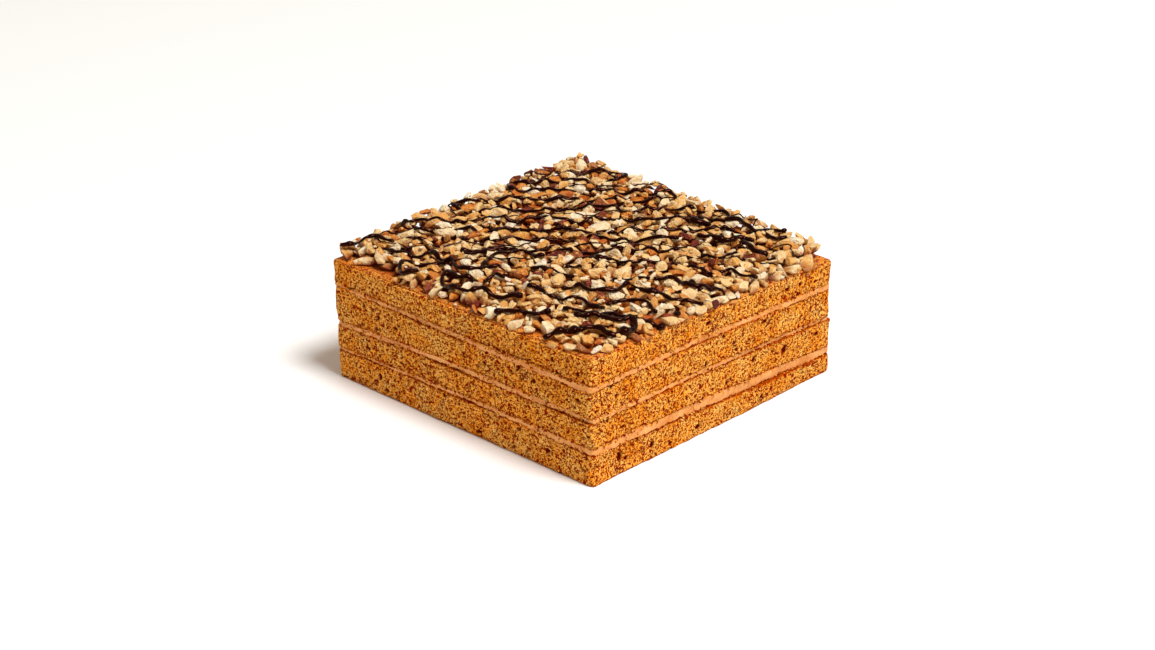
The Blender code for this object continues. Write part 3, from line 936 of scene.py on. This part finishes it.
# %% Lay a row of nuts along each side
RIM_PITCH = 3.9 * MM
STILL_BARE = 1.5 * MM
RIM_SIDES = {  # for each side: how far pieces reach beyond it, and how high they may start
    (1, -1): (-0.2 * MM, 2.4 * MM, STILL_BARE), (0, 1): (0.4 * MM, 2.6 * MM, STILL_BARE),
    (1, 1): (0.0, 2.4 * MM, 4 * STILL_BARE), (0, -1): (0.0, 2.4 * MM, 4 * STILL_BARE)}
NUT_LENGTHS = (4.6, 12.5, 6.8)  # least, greatest and most frequent, in mm
NUT_WIDTHS = (0.40, 0.86)  # for its length
NUT_HEIGHTS = (0.36, 0.62)


def nut_size(rng, scale=1.0):
    half = rng.triangular(*NUT_LENGTHS) * MM * scale / 2
    return half, half * rng.uniform(*NUT_WIDTHS), half * rng.uniform(*NUT_HEIGHTS)


def lay_rim(pieces, rng):
    for (axis, sign), (least, most, start) in RIM_SIDES.items():
        for step in range(int(2 * HALF / RIM_PITCH * start / STILL_BARE)):
            half, turn = nut_size(rng), rng.uniform(0, math.tau)
            reach = math.hypot(half[axis] * math.cos(turn), half[1 - axis] * math.sin(turn))
            out = sign * (HALF + rng.uniform(least, most) - reach)
            along = (step + rng.random()) * RIM_PITCH % (2 * HALF) - HALF
            x, y = (along, out)[::2 * axis - 1]
            if on_top(x, y, 0.0) and height_of_heap(x, y) < start:
                lay_piece(pieces, rng, "chopped", x, y, half, turn)


# %% Fill the middle: the bed, the pieces on it and the crumbs
NUT_PITCH = 4.9 * MM
NUT_JITTER = 0.4  # of the pitch
UPPER_NUTS = 1800
SPOTS_TRIED = 7  # for each of them, before it falls into the lowest
ROUNDED_SHARE = 0.16
LARGE_EVERY = 9
LARGE_SCALE = 1.25
CRUMBS = 420
CRUMB_MARGIN = 0.3 * EDGE_MARGIN
CRUMB_SIZES = (0.6, 1.5, 0.9)  # least, greatest and most frequent, in mm
CRUMB_FORM = np.array((1.3, 1.0, 0.6))  # for that size, its half length, width and height


def lay_bed(pieces, rng):
    steps = int(2 * HALF / NUT_PITCH)
    for row in range(steps + 1):
        for column in range(steps + 1):
            off_x, off_y = [rng.uniform(-NUT_JITTER, NUT_JITTER) for _ in range(2)]
            x = (column + 0.5 * (row % 2) - steps / 2 + off_x) * NUT_PITCH
            y = (row - steps / 2 + off_y) * NUT_PITCH
            if on_top(x, y, EDGE_MARGIN) and height_of_heap(x, y) < 2 * STILL_BARE:
                lay_piece(pieces, rng, "chopped", x, y, nut_size(rng))


def lay_upper(pieces, rng):
    for number in range(UPPER_NUTS):
        spots = [(rng.uniform(-HALF, HALF), rng.uniform(-HALF, HALF)) for _ in range(SPOTS_TRIED)]
        spots = [spot for spot in spots if on_top(*spot, EDGE_MARGIN)]
        if spots:
            x, y = min(spots, key=lambda spot: height_of_heap(*spot))
            kind = "rounded" if rng.random() < ROUNDED_SHARE else "chopped"
            scale = 1.0 if number % LARGE_EVERY else LARGE_SCALE
            lay_piece(pieces, rng, kind, x, y, nut_size(rng, scale))


def lay_crumbs(pieces, rng):
    for _ in range(CRUMBS):
        x, y = rng.uniform(-HALF, HALF), rng.uniform(-HALF, HALF)
        if on_top(x, y, CRUMB_MARGIN):
            half = rng.triangular(*CRUMB_SIZES) * MM * CRUMB_FORM
            lay_piece(pieces, rng, "crumb", x, y, half, pile="nut_crumbs")


def heap_nuts():
    rng = random.Random(23)
    pieces = []
    for lay in (lay_shown, lay_rim, lay_bed, lay_upper, lay_crumbs):
        before = len(pieces)
        lay(pieces, rng)
        print(f"{lay.__name__}: {len(pieces) - before} pieces")
    return pieces


nut_pieces = heap_nuts()
print(f"the heap is up to {(heap - deck(map_x, map_y)).max() / MM:.1f} mm high")

# %% Let some nuts slip over the edge
SLIPPED_PITCH = 5.5 * MM
SLIPPED_SHARES = {(0, 1): 0.12, (0, -1): 0.12, (1, 1): 0.12, (1, -1): 0.05}
SLIP_DEPTH = 1.0 * MM
SLIP_FURTHEST = 4.5 * MM
SLIP_CORNER = 12 * MM  # none slip this close to a corner
SLIPPED_SCALE = 0.8
SLIPPED_SINKS = 0.2  # of its half height into the side
SLIPPED_TURN = 0.25  # radians, either way as a rule


def slipped_nuts():
    """Pieces that hang at the upper edge of each cut side, flat against the sponge."""
    rng = random.Random(77)
    pieces = []
    for (axis, sign), share in SLIPPED_SHARES.items():
        facing = math.atan2(sign * axis, sign * (1 - axis))
        for step in range(int(2 * (HALF - BARE_CORNERS[0]) / SLIPPED_PITCH)):
            along = BARE_CORNERS[0] - HALF + (step + rng.random()) * SLIPPED_PITCH
            depth = min(rng.expovariate(1 / SLIP_DEPTH), SLIP_FURTHEST)
            half = nut_size(rng, SLIPPED_SCALE)
            if rng.random() > share or abs(along) > HALF - SLIP_CORNER:
                continue
            out = smooth_side("sponge_4", axis, sign, "top", np.array([along]))[0][0]
            x, y = [sign * (HALF + out - SLIPPED_SINKS * half[2]), along][::1 - 2 * axis]
            upright = math.pi / 2 + rng.gauss(0, SLIPPED_TURN)
            turns = (0.0, upright, facing, rng.uniform(0, math.tau))
            place = (x, y, deck(x, y) - depth)
            pieces.append(("nuts_golden", "chopped", place, half, turns, rng.random()))
    print(f"{len(pieces)} pieces have slipped over the edge")
    return pieces


nut_pieces += slipped_nuts()

# %% How deep a point lies in the heap, for its painted shade
SHADE_STARTS = 1.8 * MM  # below the pieces around, where the painted shade starts
SHADE_DEPTH = 3.0 * MM
SHADE_REACH = 5  # in cells of the map: how far away those pieces may be
SHADE_CLEAR = 2.0 * MM  # in from the cake's sides, over which the painted shade fades out


def highest_around(heights, reach):
    """The greatest height within a square window, for each cell of a map."""
    for axis in (0, 1):
        shifted = [np.roll(heights, shift, axis) for shift in range(-reach, reach + 1)]
        heights = np.max(shifted, axis=0)
    return heights


tops_around = highest_around(heap, SHADE_REACH)


def stained(points):
    """Painted shade from how deep points lie in the heap: 0 near its top, 1 at its full depth and
    below.
    """
    cell = np.round((points[:, :2] + MAP_REACH) / MAP_CELL).astype(int)
    top = tops_around[tuple(np.clip(cell, 0, len(heap) - 1).T)]
    depth = np.clip((top - points[:, 2] - SHADE_STARTS) / SHADE_DEPTH, 0, 1)
    inside = np.clip((HALF - np.abs(points[:, :2]).max(1)) / SHADE_CLEAR, 0, 1)
    return depth * inside


# %% Join the pieces of one kind
MOTTLE = 0.3  # how much the tone changes within a piece
UNDERSIDE_SHADE = 0.85  # how much painted shade a piece gets right under itself
SHARP_EDGE = math.radians(42)


def rotation(tilt_x, tilt_y, turn, spin=0.0):
    return np.array(Matrix.Rotation(turn, 3, "Z") @ Matrix.Rotation(tilt_y, 3, "Y")
                    @ Matrix.Rotation(tilt_x, 3, "X") @ Matrix.Rotation(spin, 3, "Z"))


def joined_nuts(name, pieces):
    """One mesh of many nut pieces, with masks for breaks, painted shade, and their own tone and
    hue.
    """
    rng = random.Random(len(pieces))
    mottle = np.random.default_rng(len(pieces))
    parts, count = [], 0
    for _, kind, place, half, turns, tone in pieces:
        shape, triangles, breaks = rng.choice(NUT_SHAPES[kind])
        turned = shape * np.array(half) @ rotation(*turns).T
        # painted shade on each piece's underside, darker the lower a point lies in it
        lowness = -turned[:, 2] / np.abs(turned[:, 2]).max()
        tones = np.clip(tone + mottle.normal(0, MOTTLE, len(shape)), 0, 1)
        parts.append((turned + np.array(place), triangles + count, breaks, tones,
                      np.full(len(shape), rng.random()), UNDERSIDE_SHADE * np.clip(lowness, 0, 1)))
        count += len(shape)
    points, triangles, breaks, tones, hues, underside_shades = map(np.concatenate, zip(*parts))
    mesh = bpy.data.meshes.new(name)
    mesh.from_pydata(points, [], triangles)
    set_mask(mesh, "broken", breaks, "FACE")
    set_mask(mesh, "tone", tones)
    set_mask(mesh, "hue", hues)
    # painted shade: darker deep in the heap and on each piece's underside
    set_mask(mesh, "stained", np.maximum(stained(points), underside_shades))
    mesh.shade_smooth()
    mesh.set_sharp_from_angle(angle=SHARP_EDGE)
    return mesh


# %% [markdown]
# ## The kinds of nut
#
# They differ only in colour and in how much skin they keep, so one function makes the three
# materials. A piece's own tone shifts it between pale and roasted, its breaks are bare, and skin
# stays on its outside in patches. Deep in the heap and on the underside of each piece the nuts get
# painted shade: each vertex knows how far it lies below the top of the heap and how low it lies
# in its piece, and this painted shade gives the gaps between the pieces their depth. The painted
# shade and a piece's own hue both work as a power, which turns a pale colour yellow and a yellow
# one brown, as mixing in a single brown could not.

# %% Materials for nuts
SKIN_EDGE = 0.15  # the change in the noise between bare flesh and skin
# painted shade: the dark red-brown of the nuts deep in the heap and under each piece
NUT_PAINTED_SHADE = (0.190, 0.013, 0.0004, 1)
WHITE, BLACK = (1, 1, 1, 1), (0, 0, 0, 1)
TONE_SHARE = 0.7  # how far a piece's own tone can take it towards roasted
LEAST_POWER = 0.42  # of a flesh colour: under one it is whiter, over one yellower and deeper
HUE_POWER = 1.5  # what a piece's own hue adds to it
SHADE_POWER = 1.25  # what the painted shade adds to it


def nut_material(name, pale, roasted, skin, skin_share):
    material, tree = food_material(name, Roughness=0.38, Specular_IOR_Level=0.35,
                                   Subsurface_Weight=0.12, Subsurface_Radius=(1.0, 0.6, 0.3),
                                   Subsurface_Scale=1.5 * MM)
    flesh = uneven_colour(tree, pale, roasted, patches=330.0, grains=850.0, grainy=0.5)["Colour"]
    share = calculate(tree, "MULTIPLY", read_mask(tree, "tone"), TONE_SHARE)
    toned = mix_colour(tree, share, flesh, roasted)
    patches = uneven_colour(tree, WHITE, BLACK, patches=330.0, grains=1500.0, grainy=0.2)["Colour"]
    kept = stretch(tree, patches, 1.0 - skin_share, 1.0 + SKIN_EDGE - skin_share)
    outside = calculate(tree, "SUBTRACT", 1.0, read_mask(tree, "broken"))
    dry = mix_colour(tree, calculate(tree, "MULTIPLY", kept, outside), toned, skin)
    shaded = read_mask(tree, "stained")
    power = calculate(tree, "MULTIPLY_ADD", read_mask(tree, "hue"), HUE_POWER, LEAST_POWER)
    power = calculate(tree, "MULTIPLY_ADD", shaded, SHADE_POWER, power)
    # painted shade deep in the heap and under each piece: a deeper power, then dark red-brown
    colour = mix_colour(tree, shaded, deepen(tree, dry, power), NUT_PAINTED_SHADE)
    lumps = noise_pattern(tree, per_metre=480.0, detail=3.0, roughness=0.65)
    return surfaced(material, colour, lumps, depth=2.0 * MM)


# %% Colour the kinds and join their pieces
PALE_FLESH = (1.0, 0.93, 0.68, 1)
GOLDEN_FLESH = (1.0, 0.70, 0.27, 1)
TOASTED_FLESH = (0.86, 0.51, 0.165, 1)
ROASTED_FLESH = (0.66, 0.245, 0.034, 1)
NUT_SKIN = (0.27, 0.048, 0.006, 1)
NUT_MATERIALS = {
    "nuts_pale": nut_material("pale_nut", PALE_FLESH, TOASTED_FLESH, ROASTED_FLESH, 0.25),
    "nuts_golden": nut_material("golden_nut", GOLDEN_FLESH, ROASTED_FLESH, NUT_SKIN, 0.2),
    "nuts_in_skin": nut_material("skinned_nut", GOLDEN_FLESH, ROASTED_FLESH, NUT_SKIN, 0.8),
}
NUT_MATERIALS["nut_crumbs"] = NUT_MATERIALS["nuts_pale"]
for name, material in NUT_MATERIALS.items():
    pile = [piece for piece in nut_pieces if piece[0] == name]
    add_piece(joined_nuts(name, pile), material, "nuts", "nut_topping")

# %% [markdown]
# ## Crumbs on the cut sides
#
# A knife drags crumbs of sponge along the cut, and they stay where it is sticky: along the cream.
# They are the smallest nut shape again, because a crumb is as angular as a chip of nut, with the
# sponge's own material. They follow the measured rims of the cream, half sunk in them.

# %% Strew crumbs along the cream
SIDE_CRUMBS = 90  # for each rim of each cream, on each side
CRUMB_STREWN = 0.9 * MM  # how far they stray from the rim
CRUMB_PROUD = 0.4 * MM
CRUMB_CORNER = 3 * MM
SIDE_CRUMB_SIZES = (0.25, 0.4, 0.8)  # least, most frequent and greatest, in mm
SIDE_CRUMB_FORMS = (0.7, 1.3)  # for its size, how short and how long each of its sides may be


def side_crumbs():
    rng = np.random.default_rng(61)
    pieces = []
    for node in CREAMS:
        for axis, sign in measured[node]:
            for rim in ("bottom", "top"):
                along = rng.uniform(CRUMB_CORNER - HALF, HALF - CRUMB_CORNER, SIDE_CRUMBS)
                out, height = smooth_side(node, axis, sign, rim, along)
                height = height + rng.normal(0, CRUMB_STREWN, SIDE_CRUMBS)
                for spot in zip(along, sign * (HALF + out + CRUMB_PROUD), height):
                    place = spot if axis else (spot[1], spot[0], spot[2])
                    size = rng.triangular(*SIDE_CRUMB_SIZES) * MM
                    half = size * rng.uniform(*SIDE_CRUMB_FORMS, 3)
                    pieces.append(("", "crumb", place, half, rng.uniform(-3, 3, 4), 0.0))
    return pieces


crumbs = joined_nuts("sponge_crumbs", side_crumbs())
add_piece(crumbs, HONEY_SPONGE, "sponge")

# %% [markdown]
# ## Chocolate drizzle
#
# The chocolate was piped to and fro along one diagonal, in one strand that swings round at the
# cake's edge. It is soft when it lands: it lies on the nuts, sags between them and thickens where
# the hand slowed down. So a strand has three parts. Seen from above, its route follows measured
# places in the front half, and behind them it is a zigzag of straight runs and half circles, with
# gaps where the cake shows none. Its height comes from rays cast down on the nuts, and a gap
# between two nuts is bridged by a shallow sag. Its thickness wanders along its length. A second,
# much thinner strand is laid on the nuts in the same way.

# %% The strand's route, seen from above
DRIZZLE_PITCH = 12.6 * MM
DRIZZLE_EDGE_MARGIN = 6.0 * MM
DRIZZLE_WAVE = 1.5 * MM
DRIZZLE_WAVELENGTH = 31.0 * MM
DRIZZLE_PHASE = 2.4  # radians between the waves of one run and the next
STRAND_STEP = 0.9 * MM
ALONG = Vector((1, 1)).normalized()
ACROSS = Vector((-1, 1)).normalized()


def zigzag_route(pitch, first):
    """Runs along the diagonal, from the given one on, joined by half circles."""
    reach = CORNER_SPAN - DRIZZLE_EDGE_MARGIN * math.sqrt(2)
    runs = int(2 * reach / pitch - 1)
    offsets = [pitch * (run - (runs - 1) / 2) for run in range(runs)]
    turns = [reach - (abs(a) + abs(b) + pitch) / 2 for a, b in zip(offsets, offsets[1:])]
    free_end = reach - abs(offsets[0])
    ends = [free_end, *turns, free_end]
    route = []
    for run, offset in enumerate(offsets[first:], first):
        heading = 1 if run % 2 == 0 else -1
        start, end = ends[run], ends[run + 1]
        steps = max(2, round((start + end) / STRAND_STEP))
        for step in range(steps + 1):
            s = heading * (-start + (start + end) * step / steps)
            wave = DRIZZLE_WAVE * math.sin(math.tau * s / DRIZZLE_WAVELENGTH + DRIZZLE_PHASE * run)
            fade = math.sin(math.pi * step / steps)
            route.append(ALONG * s + ACROSS * (offset + wave * fade))
        if run < runs - 1:
            steps = round(math.pi / 2 * pitch / STRAND_STEP)
            for step in range(1, steps):
                angle = math.pi * step / steps
                s = heading * (end + math.sin(angle) * pitch / 2)
                route.append(ALONG * s + ACROSS * (offset + (1 - math.cos(angle)) * pitch / 2))
    return np.array(route)


# %% Lay a strand on the nuts
def nut_surface():
    """The upper surface of all the nuts and the coat, ready for rays."""
    bm = bmesh.new()
    for name in [*NUT_SHARES, "cream_coat"]:
        bm.from_mesh(bpy.data.meshes[name])
    surface = BVHTree.FromBMesh(bm)
    bm.free()
    return surface


NUTS_BELOW = nut_surface()
SKY = 90 * MM
SAG = {True: 0.10 / MM, False: 0.22 / MM}  # curvature of a strand: clear of the nuts, or not
STRAND_RIDES = 0.6  # of its radius: how far its middle lies above the nuts
STRAND_FEELS = 0.6  # of its radius: how far to its sides it rests on them
BRIDGE = 8  # in steps: half of the widest gap that it bridges
SMOOTHED_BY = 0.2 * MM


def height_below(x, y):
    hit = NUTS_BELOW.ray_cast(Vector((x, y, SKY)), Vector((0, 0, -1)))[0]
    return hit.z if hit else deck(x, y)


def draped(route, radii, clear):
    """Heights of a strand's middle: on the nuts below it, with gaps bridged by a shallow sag.

    A clear strand keeps above all that it crosses. The others sink in a little at their sides.
    """
    heading = np.gradient(route, axis=0)
    heading /= np.linalg.norm(heading, axis=1)[:, None]
    beside = np.stack((-heading[:, 1], heading[:, 0]), 1) * radii[:, None] * STRAND_FEELS
    rays = [[height_below(*point) for point in route + shift * beside] for shift in (-1, 0, 1)]
    floor = np.max(rays, axis=0) if clear else np.median(rays, axis=0)
    window = np.arange(-BRIDGE, BRIDGE + 1)
    drop = SAG[clear] * (window * STRAND_STEP) ** 2 / 2

    # The floor is filled wherever a parabola of that sag, moved along it, can't reach down.
    def slide(values, pick, sign):
        padded = np.pad(values, BRIDGE, mode="edge")
        stack = [padded[k:k + len(values)] + sign * d for k, d in zip(window + BRIDGE, drop)]
        return pick(stack, axis=0)

    bridged = slide(slide(floor, np.max, -1), np.min, 1)
    kernel = np.array((1, 2, 3, 2, 1)) / 9
    smooth = np.convolve(np.pad(bridged, 2, mode="edge"), kernel, mode="valid")
    return np.maximum(smooth, bridged - SMOOTHED_BY) + STRAND_RIDES * radii


# %% Roll a tube round the strand
STRAND_SIDES = 10
STRAND_FLAT = 0.75  # its height for its width


def strand_mesh(name, strands):
    """Closed tubes along several strands: for each its route, its radii, and if it stays clear."""
    whole = bmesh.new()
    for route, radii, clear in strands:
        heights = draped(route, radii, clear)
        line = np.column_stack((route, heights))
        forward = np.gradient(line, axis=0)
        forward /= np.linalg.norm(forward, axis=1)[:, None]
        side = np.cross((0, 0, 1), forward)
        side /= np.linalg.norm(side, axis=1)[:, None]
        up = np.cross(forward, side)
        rows = len(route) - 1
        tube = finished_mesh("strand", rolled_grid(STRAND_SIDES, rows, False))
        column, row, _ = rolled_places(points_of(tube), STRAND_SIDES, rows)
        angle = math.tau * column / STRAND_SIDES
        points = line[row]
        points = points + side[row] * (np.cos(angle) * radii[row])[:, None]
        points = points + up[row] * (np.sin(angle) * radii[row] * STRAND_FLAT)[:, None]
        set_points(tube, points)
        whole.from_mesh(tube)
        bpy.data.meshes.remove(tube)
    bmesh.ops.recalc_face_normals(whole, faces=whole.faces)
    mesh = finished_mesh(name, whole)
    mesh.shade_smooth()
    return mesh


# %% Let a strand's thickness and route wander
THICKNESS_WANDERS = 0.8
THICKNESS_WAVES = ((9 * MM, 1.0, 0), (3.5 * MM, 0.6, 5))  # their length, share and own noise
BLOB_REACH = 2.2 * MM
SHARPEST_TIP = 0.02  # keeps an end from closing to a point
HAND_WAVES = (14 * MM, 4.5 * MM)
HAND_TREMBLE = 0.35  # the share of the shorter ones


def strand_radii(route, radius, blob, course):
    """Thickness along a strand: it wanders, and each end swells into a round blob."""
    count = len(route)
    wander = [sum(share * noise.noise(Vector((i * STRAND_STEP / length, course, own)))
                  for length, share, own in THICKNESS_WAVES) for i in range(count)]
    radii = radius * np.exp(THICKNESS_WANDERS * np.array(wander))
    to_end = np.minimum(np.arange(count), np.arange(count)[::-1]) * STRAND_STEP
    radii += (blob - radius) * np.exp(-(to_end / BLOB_REACH) ** 2)
    tip = np.clip(to_end / blob, SHARPEST_TIP, 1)
    return radii * np.sqrt(1 - (1 - tip) ** 2)


def wandering(route, course, amount):
    """Shift a route sideways by smooth noise, as an unsteady hand does."""
    shift = np.array([[noise.noise(Vector((*point, 0)) / length + Vector((0, 0, course + apart)))
                       for length in HAND_WAVES for apart in (0.0, 9.0)] for point in route])
    return route + amount * (shift[:, :2] + HAND_TREMBLE * shift[:, 2:])


# %% The strands of the front half, as the photo shows them
FRONT_STRANDS = (  # radius of the strand and of its blobs, then along and across in turn, in mm
    (1.0, 1.2, -117, 2, -112, 1, -108, 6, -104, 11, -100, 12, -96, 8, -91, 5),
    (1.6, 2.0, -22, -98, -18, -96, -11, -95, -5, -94, 0, -93, 4, -93, 7, -96, 10, -98, 13, -97,
     17, -94, 20, -91, 20, -86, 19, -83),
    (1.25, 2.5, 33, -86, 31, -82, 28, -80, 24, -79, 21, -80, 17, -84, 13, -86, 10, -84, 6, -81,
     2, -80, -2, -82, -7, -80),
    (0.9, 1.2, -12, -72, -8, -73, -3, -74, 1, -76, 4, -76, 7, -75, 10, -78, 14, -80, 18, -81),
    (1.0, 1.5, -28, -48, -24, -48, -20, -52, -18, -57, -14, -58, -13, -61, -9, -61, -5, -61,
     -2, -63, 1, -67, 4, -68, 7, -72),
    (1.1, 1.5, -12, -50, -8, -49, -4, -47, -1, -50, 3, -53, 8, -53, 13, -53, 16, -49, 19, -46,
     21, -47, 24, -50, 27, -52, 31, -53, 34, -56, 37, -59, 40, -62, 45, -62, 49, -63, 53, -64),
    (0.95, 1.3, 8, -64, 12, -63, 16, -61, 19, -61, 23, -62, 27, -64, 29, -69, 31, -72),
    (0.8, 1.1, 12, -37, 16, -39, 20, -37, 23, -34, 26, -36, 29, -41),
    (1.1, 1.5, 31, -41, 35, -39, 38, -37, 41, -38, 44, -43, 47, -46, 51, -47, 54, -46, 57, -51,
     60, -48, 63, -50),
    (1.0, 1.6, 39, -74, 40, -76, 42, -76),
    (1.0, 1.3, -96, -1, -93, -3, -89, -7, -86, -8, -82, -10, -78, -8, -75, -5, -72, -8, -68, -14,
     -65, -15),
    (1.1, 1.5, -78, -31, -82, -31, -85, -31, -87, -26, -87, -21, -86, -18, -82, -19, -76, -19,
     -71, -19, -67, -16, -64, -15, -62, -20, -60, -25, -56, -28, -52, -28, -48, -26, -44, -27,
     -40, -26),
    (0.9, 1.1, -49, -24, -47, -18, -45, -14, -42, -11, -38, -8),
    (1.35, 1.8, -52, -40, -54, -37, -57, -36, -61, -35, -64, -33, -66, -35, -67, -41, -64, -46,
     -61, -50, -57, -52, -54, -53, -50, -52, -47, -54, -43, -57, -39, -58, -34, -58, -30, -60),
    (0.8, 1.1, -48, -40, -45, -37, -42, -35, -38, -38),
    (1.15, 2.0, -42, -76, -40, -73, -36, -73, -32, -74, -27, -75, -23, -77, -20, -75, -17, -75),
    (0.9, 1.2, -59, -6, -55, -8, -50, -7, -45, -7, -41, -6, -36, -8, -31, -5, -26, -7, -23, -12,
     -19, -14),
    (0.8, 1.0, -26, -22, -22, -24, -19, -25, -16, -29, -12, -31, -9, -32, -6, -34),
    (0.8, 1.0, -10, -25, -6, -24, -2, -21),
    (1.3, 1.6, 55, 14, 59, 11, 63, 9, 67, 7, 71, 7, 75, 10, 78, 10, 82, 7),
    (1.3, 2.5, 76, 7, 79, 2, 81, -2, 84, -4, 87, -8),
    (0.9, 1.2, 49, -22, 52, -24, 54, -28, 57, -31, 60, -29, 63, -29, 67, -28, 70, -31, 73, -33,
     77, -34, 80, -37),
    (0.9, 1.5, 48, -42, 51, -47, 53, -50),
    (0.8, 1.1, 55, -11, 57, -13, 60, -15, 63, -16, 67, -14, 70, -11, 73, -9),
    (1.5, 2.2, 53, 30, 56, 27, 59, 27, 63, 28),
    (1.1, 1.5, 70, 35, 73, 33, 77, 32, 79, 28, 82, 24, 85, 20, 89, 16, 92, 12, 95, 12, 99, 13),
)

# %% Turn measured places into routes
FRONT_SHIFT = -2.5 * MM  # across, because they lie higher than the plane they were measured on
REAR_RUNS = 6  # the number of zigzag runs that the front strands stand for
REAR_START = 85 * MM  # and how much of the next run
REAR_BARE = ((-120, -60, 6), (46, 120, 16))  # least and greatest along, greatest across, in mm
SHORTEST_STRAND = 8  # in steps


def measured_strand(course, radius, blob, *places):
    """A smooth route through measured places, evenly spaced, with its radii."""
    corners = np.array(places).reshape(-1, 2) * MM
    knots = np.concatenate(([0], np.cumsum(np.linalg.norm(np.diff(corners, axis=0), axis=1))))
    at = np.linspace(0, knots[-1], round(knots[-1] / STRAND_STEP) + 1)
    along, across = [smooth_through(knots, corners[:, i], at) for i in (0, 1)]
    route = np.outer(along, ALONG.xy) + np.outer(across + FRONT_SHIFT, ACROSS.xy)
    route = np.clip(route, MM - HALF, HALF - MM)
    return route, strand_radii(route, radius * MM, blob * MM, course), True


def outside_bare(route):
    """The parts of a route that are not in the bare places."""
    along, across = route @ ALONG.xy / MM, route @ ACROSS.xy / MM
    bare = np.any([(left < along) & (along < right) & (across < far)
                   for left, right, far in REAR_BARE], axis=0)
    borders = np.flatnonzero(np.diff(bare)) + 1
    return [part for part, off in zip(np.split(route, borders), np.split(bare, borders))
            if not off[0] and len(part) > SHORTEST_STRAND]


# %% A material for dark chocolate
CHOCOLATE_LIGHT = (0.011, 0.0009, 0.0002, 1)
CHOCOLATE_DEEP = (0.005, 0.0004, 0.0001, 1)


def chocolate_material():
    material, tree = food_material("dark_chocolate", Roughness=0.14, Specular_IOR_Level=0.22,
                                   Specular_Tint=(1.0, 0.3, 0.2, 1))
    chocolate = uneven_colour(tree, CHOCOLATE_LIGHT, CHOCOLATE_DEEP,
                              patches=200.0, grains=900.0, grainy=0.3)
    return surfaced(material, chocolate["Colour"], chocolate["Height"], depth=0.05 * MM)


DARK_CHOCOLATE = chocolate_material()

# %% Pipe the thick strands
REAR_RADIUS = 0.9 * MM
REAR_BLOB = 1.7 * MM
REAR_WANDERS = 3.4 * MM

rear_route = zigzag_route(DRIZZLE_PITCH, REAR_RUNS)[round(REAR_START / STRAND_STEP):]
rear_parts = outside_bare(wandering(rear_route, 0.1, REAR_WANDERS))
rear = [(part, strand_radii(part, REAR_RADIUS, REAR_BLOB, 40.0 * course), False)
        for course, part in enumerate(rear_parts)]
front = [measured_strand(course, *strand) for course, strand in enumerate(FRONT_STRANDS, 1)]
thick = strand_mesh("chocolate_thick", rear + front)
add_piece(thick, DARK_CHOCOLATE, "chocolate", "nut_topping")

# %% Pipe the thin strand
THIN_PITCH = 18.5 * MM
THIN_SKIPS = 4  # runs at the front
THIN_RADIUS = 0.4 * MM
THIN_BLOB = 1.0 * MM
THIN_WANDERS = 6.0 * MM

thin_route = wandering(zigzag_route(THIN_PITCH, THIN_SKIPS), 4.4, THIN_WANDERS)
thin_radii = strand_radii(thin_route, THIN_RADIUS, THIN_BLOB, 7.0)
thin = strand_mesh("chocolate_thin", [(thin_route, thin_radii, False)])
add_piece(thin, DARK_CHOCOLATE, "chocolate", "nut_topping")

# %% [markdown]
# ## A plain studio
#
# The cake stands on a white floor under soft light. One large lamp, high on the right, does most
# of the work: the right side gets almost twice the light of the left one, as on the photo. It
# stands well away, so that the floor is evenly bright. A pale, slightly warm world fills the
# shadows. The camera's place was worked out from the cake's corners.

# %% Floor and world
FLOOR_CLEAR = 0.2 * MM  # of the cake's underside
WORLD_COLOUR = (1.0, 0.86, 0.71, 1)
WORLD_STRENGTH = 0.39

floor_material, _ = food_material("white_floor", Roughness=0.9, Base_Color=(0.97, 0.99, 1.0, 1))
bm = bmesh.new()
bmesh.ops.create_grid(bm, x_segments=2, y_segments=2, size=4)
bmesh.ops.translate(bm, vec=(0, 0, -FLOOR_CLEAR), verts=bm.verts)
floor = bpy.data.objects.new("studio_floor", finished_mesh("studio_floor", bm))
floor.data.materials.append(floor_material)
bpy.context.scene.collection.objects.link(floor)

world = bpy.data.worlds.new("pale_world")
world.use_nodes = True
background = world.node_tree.nodes["Background"]
background.inputs["Color"].default_value = WORLD_COLOUR
background.inputs["Strength"].default_value = WORLD_STRENGTH
bpy.context.scene.world = world
bpy.context.scene.view_settings.view_transform = "Standard"

# %% Lamp
LAMP_PLACE = Vector((1.35, 0.05, 2.8))
LAMP_SIZE = 1.1
LAMP_WATTS = 96
CAKE_MIDDLE = Vector((0, 0, 30 * MM))

lamp = bpy.data.objects.new("key_lamp", bpy.data.lights.new("key_lamp", "AREA"))
lamp.data.shape = "DISK"
lamp.data.size = LAMP_SIZE
lamp.data.energy = LAMP_WATTS
lamp.location = LAMP_PLACE
lamp.rotation_euler = (CAKE_MIDDLE - LAMP_PLACE).to_track_quat("-Z", "Y").to_euler()
bpy.context.scene.collection.objects.link(lamp)

# %% Camera
CAMERA_TURN = math.radians(43.52)  # from straight in front, round to the right
CAMERA_RISE = math.radians(24.46)
CAMERA_DISTANCE = 1200 * MM
CAMERA_AIM = Vector((4.3, -9.1, 30.0)) * MM
LENS = 77.5  # mm, on Blender's 36 mm sensor

camera = bpy.data.objects.new("camera", bpy.data.cameras.new("camera"))
camera.data.lens = LENS
camera.rotation_euler = (math.pi / 2 - CAMERA_RISE, 0, CAMERA_TURN)
back = camera.rotation_euler.to_matrix() @ Vector((0, 0, CAMERA_DISTANCE))
camera.location = CAMERA_AIM + back
bpy.context.scene.collection.objects.link(camera)
bpy.context.scene.camera = camera
